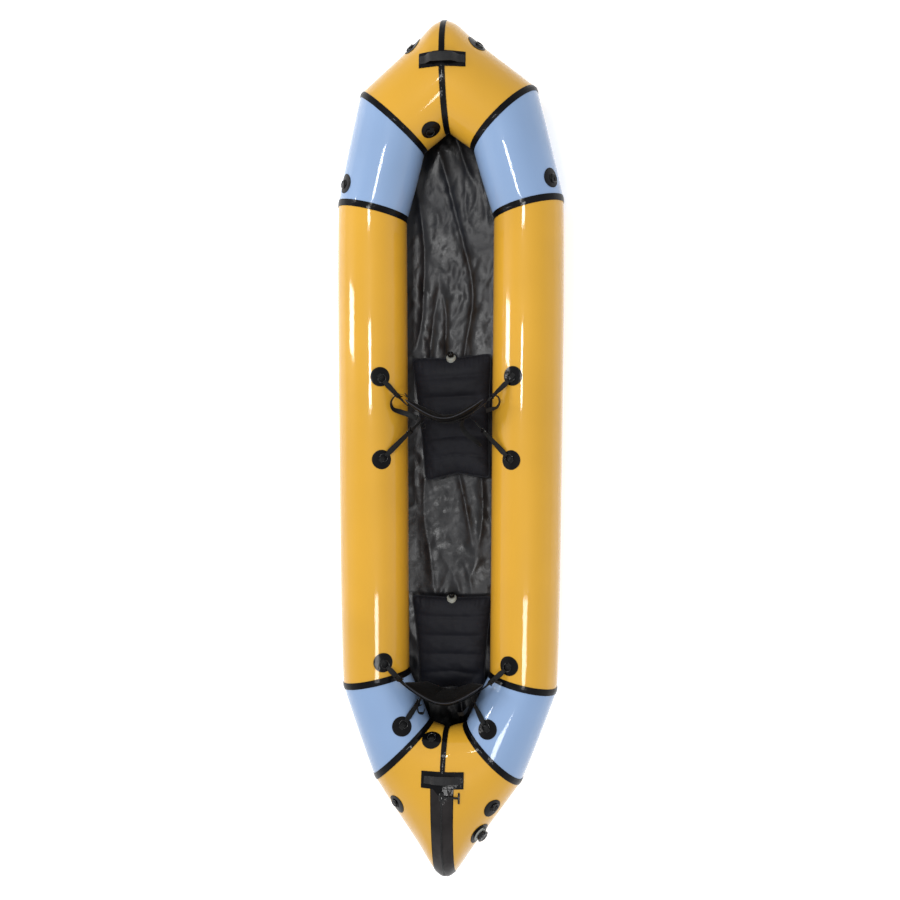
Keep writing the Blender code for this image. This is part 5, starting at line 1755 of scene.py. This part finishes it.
# The loose ends behind the buckles. Each lists its points in mm, and how flat the webbing lies
# there, from 0 on edge to 1 flat.
TAILS = {
    ("front", "fore", "left"): (
        ((-138, 214, 262, 0), (-166, 232, 258, 0), (-192, 231, 252, 0), (-212, 206, 256, 0.1),
         (-206, 178, 250, 0.4), (-176, 166, 240, 0.8), (-140, 154, 244, 0.9), (-109, 141, 252, 0.7)),
        ((-136, 212, 264, 0), (-146, 224, 268, 0.2), (-156, 237, 272, 0.2)),
    ),
    ("front", "fore", "right"): (
        ((148, 185, 270, 0), (160, 208, 268, 0.1), (180, 226, 264, 0.2), (198, 224, 262, 0.2),
         (206, 205, 262, 0.2), (196, 184, 256, 0.3), (174, 176, 254, 0.5), (154, 170, 258, 0.5)),
    ),
    ("front", "aft", "right"): (
        ((62, 134, 232, 0.3), (58, 112, 226, 0.5), (76, 82, 222, 0.7), (104, 60, 220, 0.6),
         (130, 36, 224, 0.4)),
    ),
    ("front", "aft", "left"): (
        ((-88, 128, 238, 0), (-98, 118, 238, 0), (-94, 104, 236, 0.1), (-82, 106, 234, 0.2),
         (-84, 118, 232, 0.2)),
    ),
    ("rear", "aft", "left"): (
        ((-96, -966, 226, 0), (-112, -974, 224, 0), (-108, -996, 220, 0.1), (-92, -1000, 216, 0.2),
         (-86, -984, 214, 0.2)),
    ),
    ("rear", "aft", "right"): (
        ((84, -966, 226, 0.2), (74, -984, 220, 0.4), (62, -998, 214, 0.6), (44, -1002, 208, 0.6)),
    ),
}
TAIL_STEPS = 7
TAIL_WIDTH_SHARE = 0.95


def tail(route):
    """A loose end of webbing along a smooth line through its points."""
    seats = settings("seats")
    spots = [Vector(point[:3]) * MM for point in route]
    leans = [point[3] for point in route]
    last = len(spots) - 1
    middles, flats = [], []
    for i in range(last):
        a, b, c, d = (spots[min(max(k, 0), last)] for k in (i - 1, i, i + 1, i + 2))
        for step in range(TAIL_STEPS if i < last - 1 else TAIL_STEPS + 1):
            t = step / TAIL_STEPS
            bend = (2 * a - 5 * b + 4 * c - d) * t * t + (3 * b - a - 3 * c + d) * t**3
            middles.append(b + ((c - a) * t + bend) / 2)
            flats.append(leans[i] + (leans[i + 1] - leans[i]) * t)
    stations = []
    for i, (middle, flat) in enumerate(zip(middles, flats)):
        travel = middles[min(i + 1, len(middles) - 1)] - middles[max(i - 1, 0)]
        level = travel.normalized().cross(UP).normalized()
        stations.append((middle, UP.lerp(level, flat), seats.strap_width * TAIL_WIDTH_SHARE))
    return ribbon("tail", stations, seats.strap_thickness)


def seat_webbing(word, keeper, ring, buckle):
    """A backrest's two straps with their anchors, buckles and tails."""
    seats = settings("seats")
    for end, (z, half_span) in STRAPS.items():
        legs, pieces, locks = [], [], []
        for side, side_word in SIDES:
            target = strap_line(word, half_span * side, z)
            panel, share, angle = SEAT_ANCHORS[f"{word}_seat_{end}"]
            heading = target - on_side(panel.point(share, angle), side)
            place = Place(panel, share, angle, side, heading)
            name = f"{word}_seat_{end}_anchor_{side_word}"
            lashing_point(name, place, keeper, ring, name, "hull")
            leg = Leg(place, target)
            legs.append(leg)
            pieces.append(ribbon("loop", leg.doubled(), seats.strap_thickness))
            locks.append(copied(buckle, "lock", leg.buckle_frame()))
            pieces += [tail(route) for route in TAILS.get((word, end, side_word), ())]
        spans = [half_span * (2 * i / STRAP_STEPS - 1) for i in range(1, STRAP_STEPS)]
        middle = [(strap_line(word, x, z), UP, seats.strap_width) for x in spans]
        left, right = legs
        run = ribbon("run", left.single() + middle + right.single()[::-1], seats.strap_thickness)
        strap = joined(f"{word}_{end}_webbing", [run, *pieces])
        locks = joined(f"{word}_{end}_buckles", locks)
        fit(strap, None, "webbing", "strap_webbing", f"{word}_backrest_{end}_strap")
        fit(locks, None, "moulded_black", "moulded_plastic")
        pad_end = left.at(FORE_BLEND_SHARE)[0] if end == "fore" else strap_line(word, 0, z)
        start, stop = (0, left.wire.y, left.wire.z), (0, pad_end.y, pad_end.z)
        for obj in (strap, locks):
            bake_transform(obj)
            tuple(start)
            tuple(stop)


class PackraftMakeBackrests(bpy.types.Operator):
    """Make the two backrests with their straps, buckles and anchors"""

    bl_idname = "packraft.make_backrests"
    bl_label = "Make backrests"

    def execute(self, context):
        models = keeper_model(), ring_model(), buckle_model()
        for word in BACKREST_Y:
            backrest(word)
            seat_webbing(word, *models)
        for model in models:
            discard(model)
        return {"FINISHED"}


# Stage

CAMERA_PLACE = (0.5, 0.045, 4.2)
CAMERA_TURN = (-0.006, 0.1221, 0.0019)
SENSOR_WIDTH = 36
PAPER_SIZE = 40

# Name, place, size, power and aim. Each gives one of the streaks that run down the tubes.
LAMPS = (
    ("left_window", (-4.1, 0.98, 2.3), (0.55, 1.3), 52, (-0.1, 0.5, 0.25)),
    ("front_ceiling", (-0.4, 0.53, 3.0), (0.3, 0.55), 16, (-0.4, 0.53, 0)),
    ("rear_ceiling", (0.42, -1.28, 3.0), (0.6, 0.62), 19, (0.42, -1.28, 0)),
    ("bow_ceiling", (-0.4, 1.62, 3.0), (0.4, 0.35), 12, (-0.4, 1.62, 0)),
)
WALL_TOP = 0.2
CEILING_START = 0.7
ROOM_COLOUR = "#FAFBFD"


class PackraftMakeStage(bpy.types.Operator):
    """Make the camera, the white paper and the lamps"""

    bl_idname = "packraft.make_stage"
    bl_label = "Make stage"

    def execute(self, context):
        scene, stage = context.scene, settings("stage")
        scene.view_settings.view_transform = "Standard"
        bpy.ops.object.camera_add(location=CAMERA_PLACE, rotation=CAMERA_TURN)
        camera = scene.camera = context.object
        camera.name = "photo_camera"
        camera.data.sensor_width = SENSOR_WIDTH
        camera.data.lens = stage.lens
        bpy.ops.mesh.primitive_plane_add(size=PAPER_SIZE, location=(0, 0, -0.5 * MM))
        sheet = context.object
        sheet.name = "studio_paper"
        sheet.data.materials.append(finish("backdrop_paper"))
        world = scene.world = bpy.data.worlds.new("soft_room")
        world.use_nodes = True
        world.node_tree.nodes.clear()
        add = partial(add_node, world.node_tree)
        rise = add("SeparateXYZ", "Z", Vector=add("TexCoord", "Generated"))
        strength = add(
            "MapRange", "Result", Value=rise, From_Min=WALL_TOP, From_Max=CEILING_START,
            To_Min=stage.wall_light, To_Max=stage.ceiling_light,
        )
        room = add("Background", "Background", Color=(*srgb(ROOM_COLOUR), 1), Strength=strength)
        add("OutputWorld", None, Surface=room)
        for name, place, size, power, target in LAMPS:
            aim = (Vector(target) - Vector(place)).to_track_quat("-Z", "Y").to_euler()
            bpy.ops.object.light_add(type="AREA", location=place, rotation=aim)
            lamp = context.object
            lamp.name = name
            lamp.data.shape = "RECTANGLE"
            lamp.data.size, lamp.data.size_y = size
            lamp.data.energy = power * stage.lamp_share
            lamp.visible_camera = False
        return {"FINISHED"}


class PackraftPanel(bpy.types.Panel):
    """Lists the packraft's settings and pieces"""

    bl_idname = "VIEW3D_PT_packraft"
    bl_label = "Packraft"
    bl_space_type = "VIEW_3D"
    bl_region_type = "UI"
    bl_category = "Packraft"

    def draw(self, context):
        for word, group in GROUPS.items():
            box = self.layout.box()
            box.label(text=group.__doc__)
            for name in group.__annotations__:
                box.prop(getattr(context.scene, word), name)
        for operator in OPERATORS:
            self.layout.operator(operator.bl_idname)


OPERATORS = (
    PackraftMakeStage,
    PackraftMakeHull,
    PackraftMakeZipper,
    PackraftMakeHandles,
    PackraftMakeFloor,
    PackraftMakeLashing,
    PackraftMakeValve,
    PackraftMakeCushions,
    PackraftMakeBackrests,
)
CLASSES = (*GROUPS.values(), *OPERATORS, PackraftPanel)


def register():
    for item in CLASSES:
        bpy.utils.register_class(item)
    for word, group in GROUPS.items():
        setattr(bpy.types.Scene, word, PointerProperty(type=group))


def unregister():
    for word in GROUPS:
        delattr(bpy.types.Scene, word)
    for item in reversed(CLASSES):
        bpy.utils.unregister_class(item)


def main():
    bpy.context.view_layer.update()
    register()
    for operator in OPERATORS:
        group, name = operator.bl_idname.split(".")
        getattr(getattr(bpy.ops, group), name)()
    deselect()


if __name__ == "__main__":
    main()
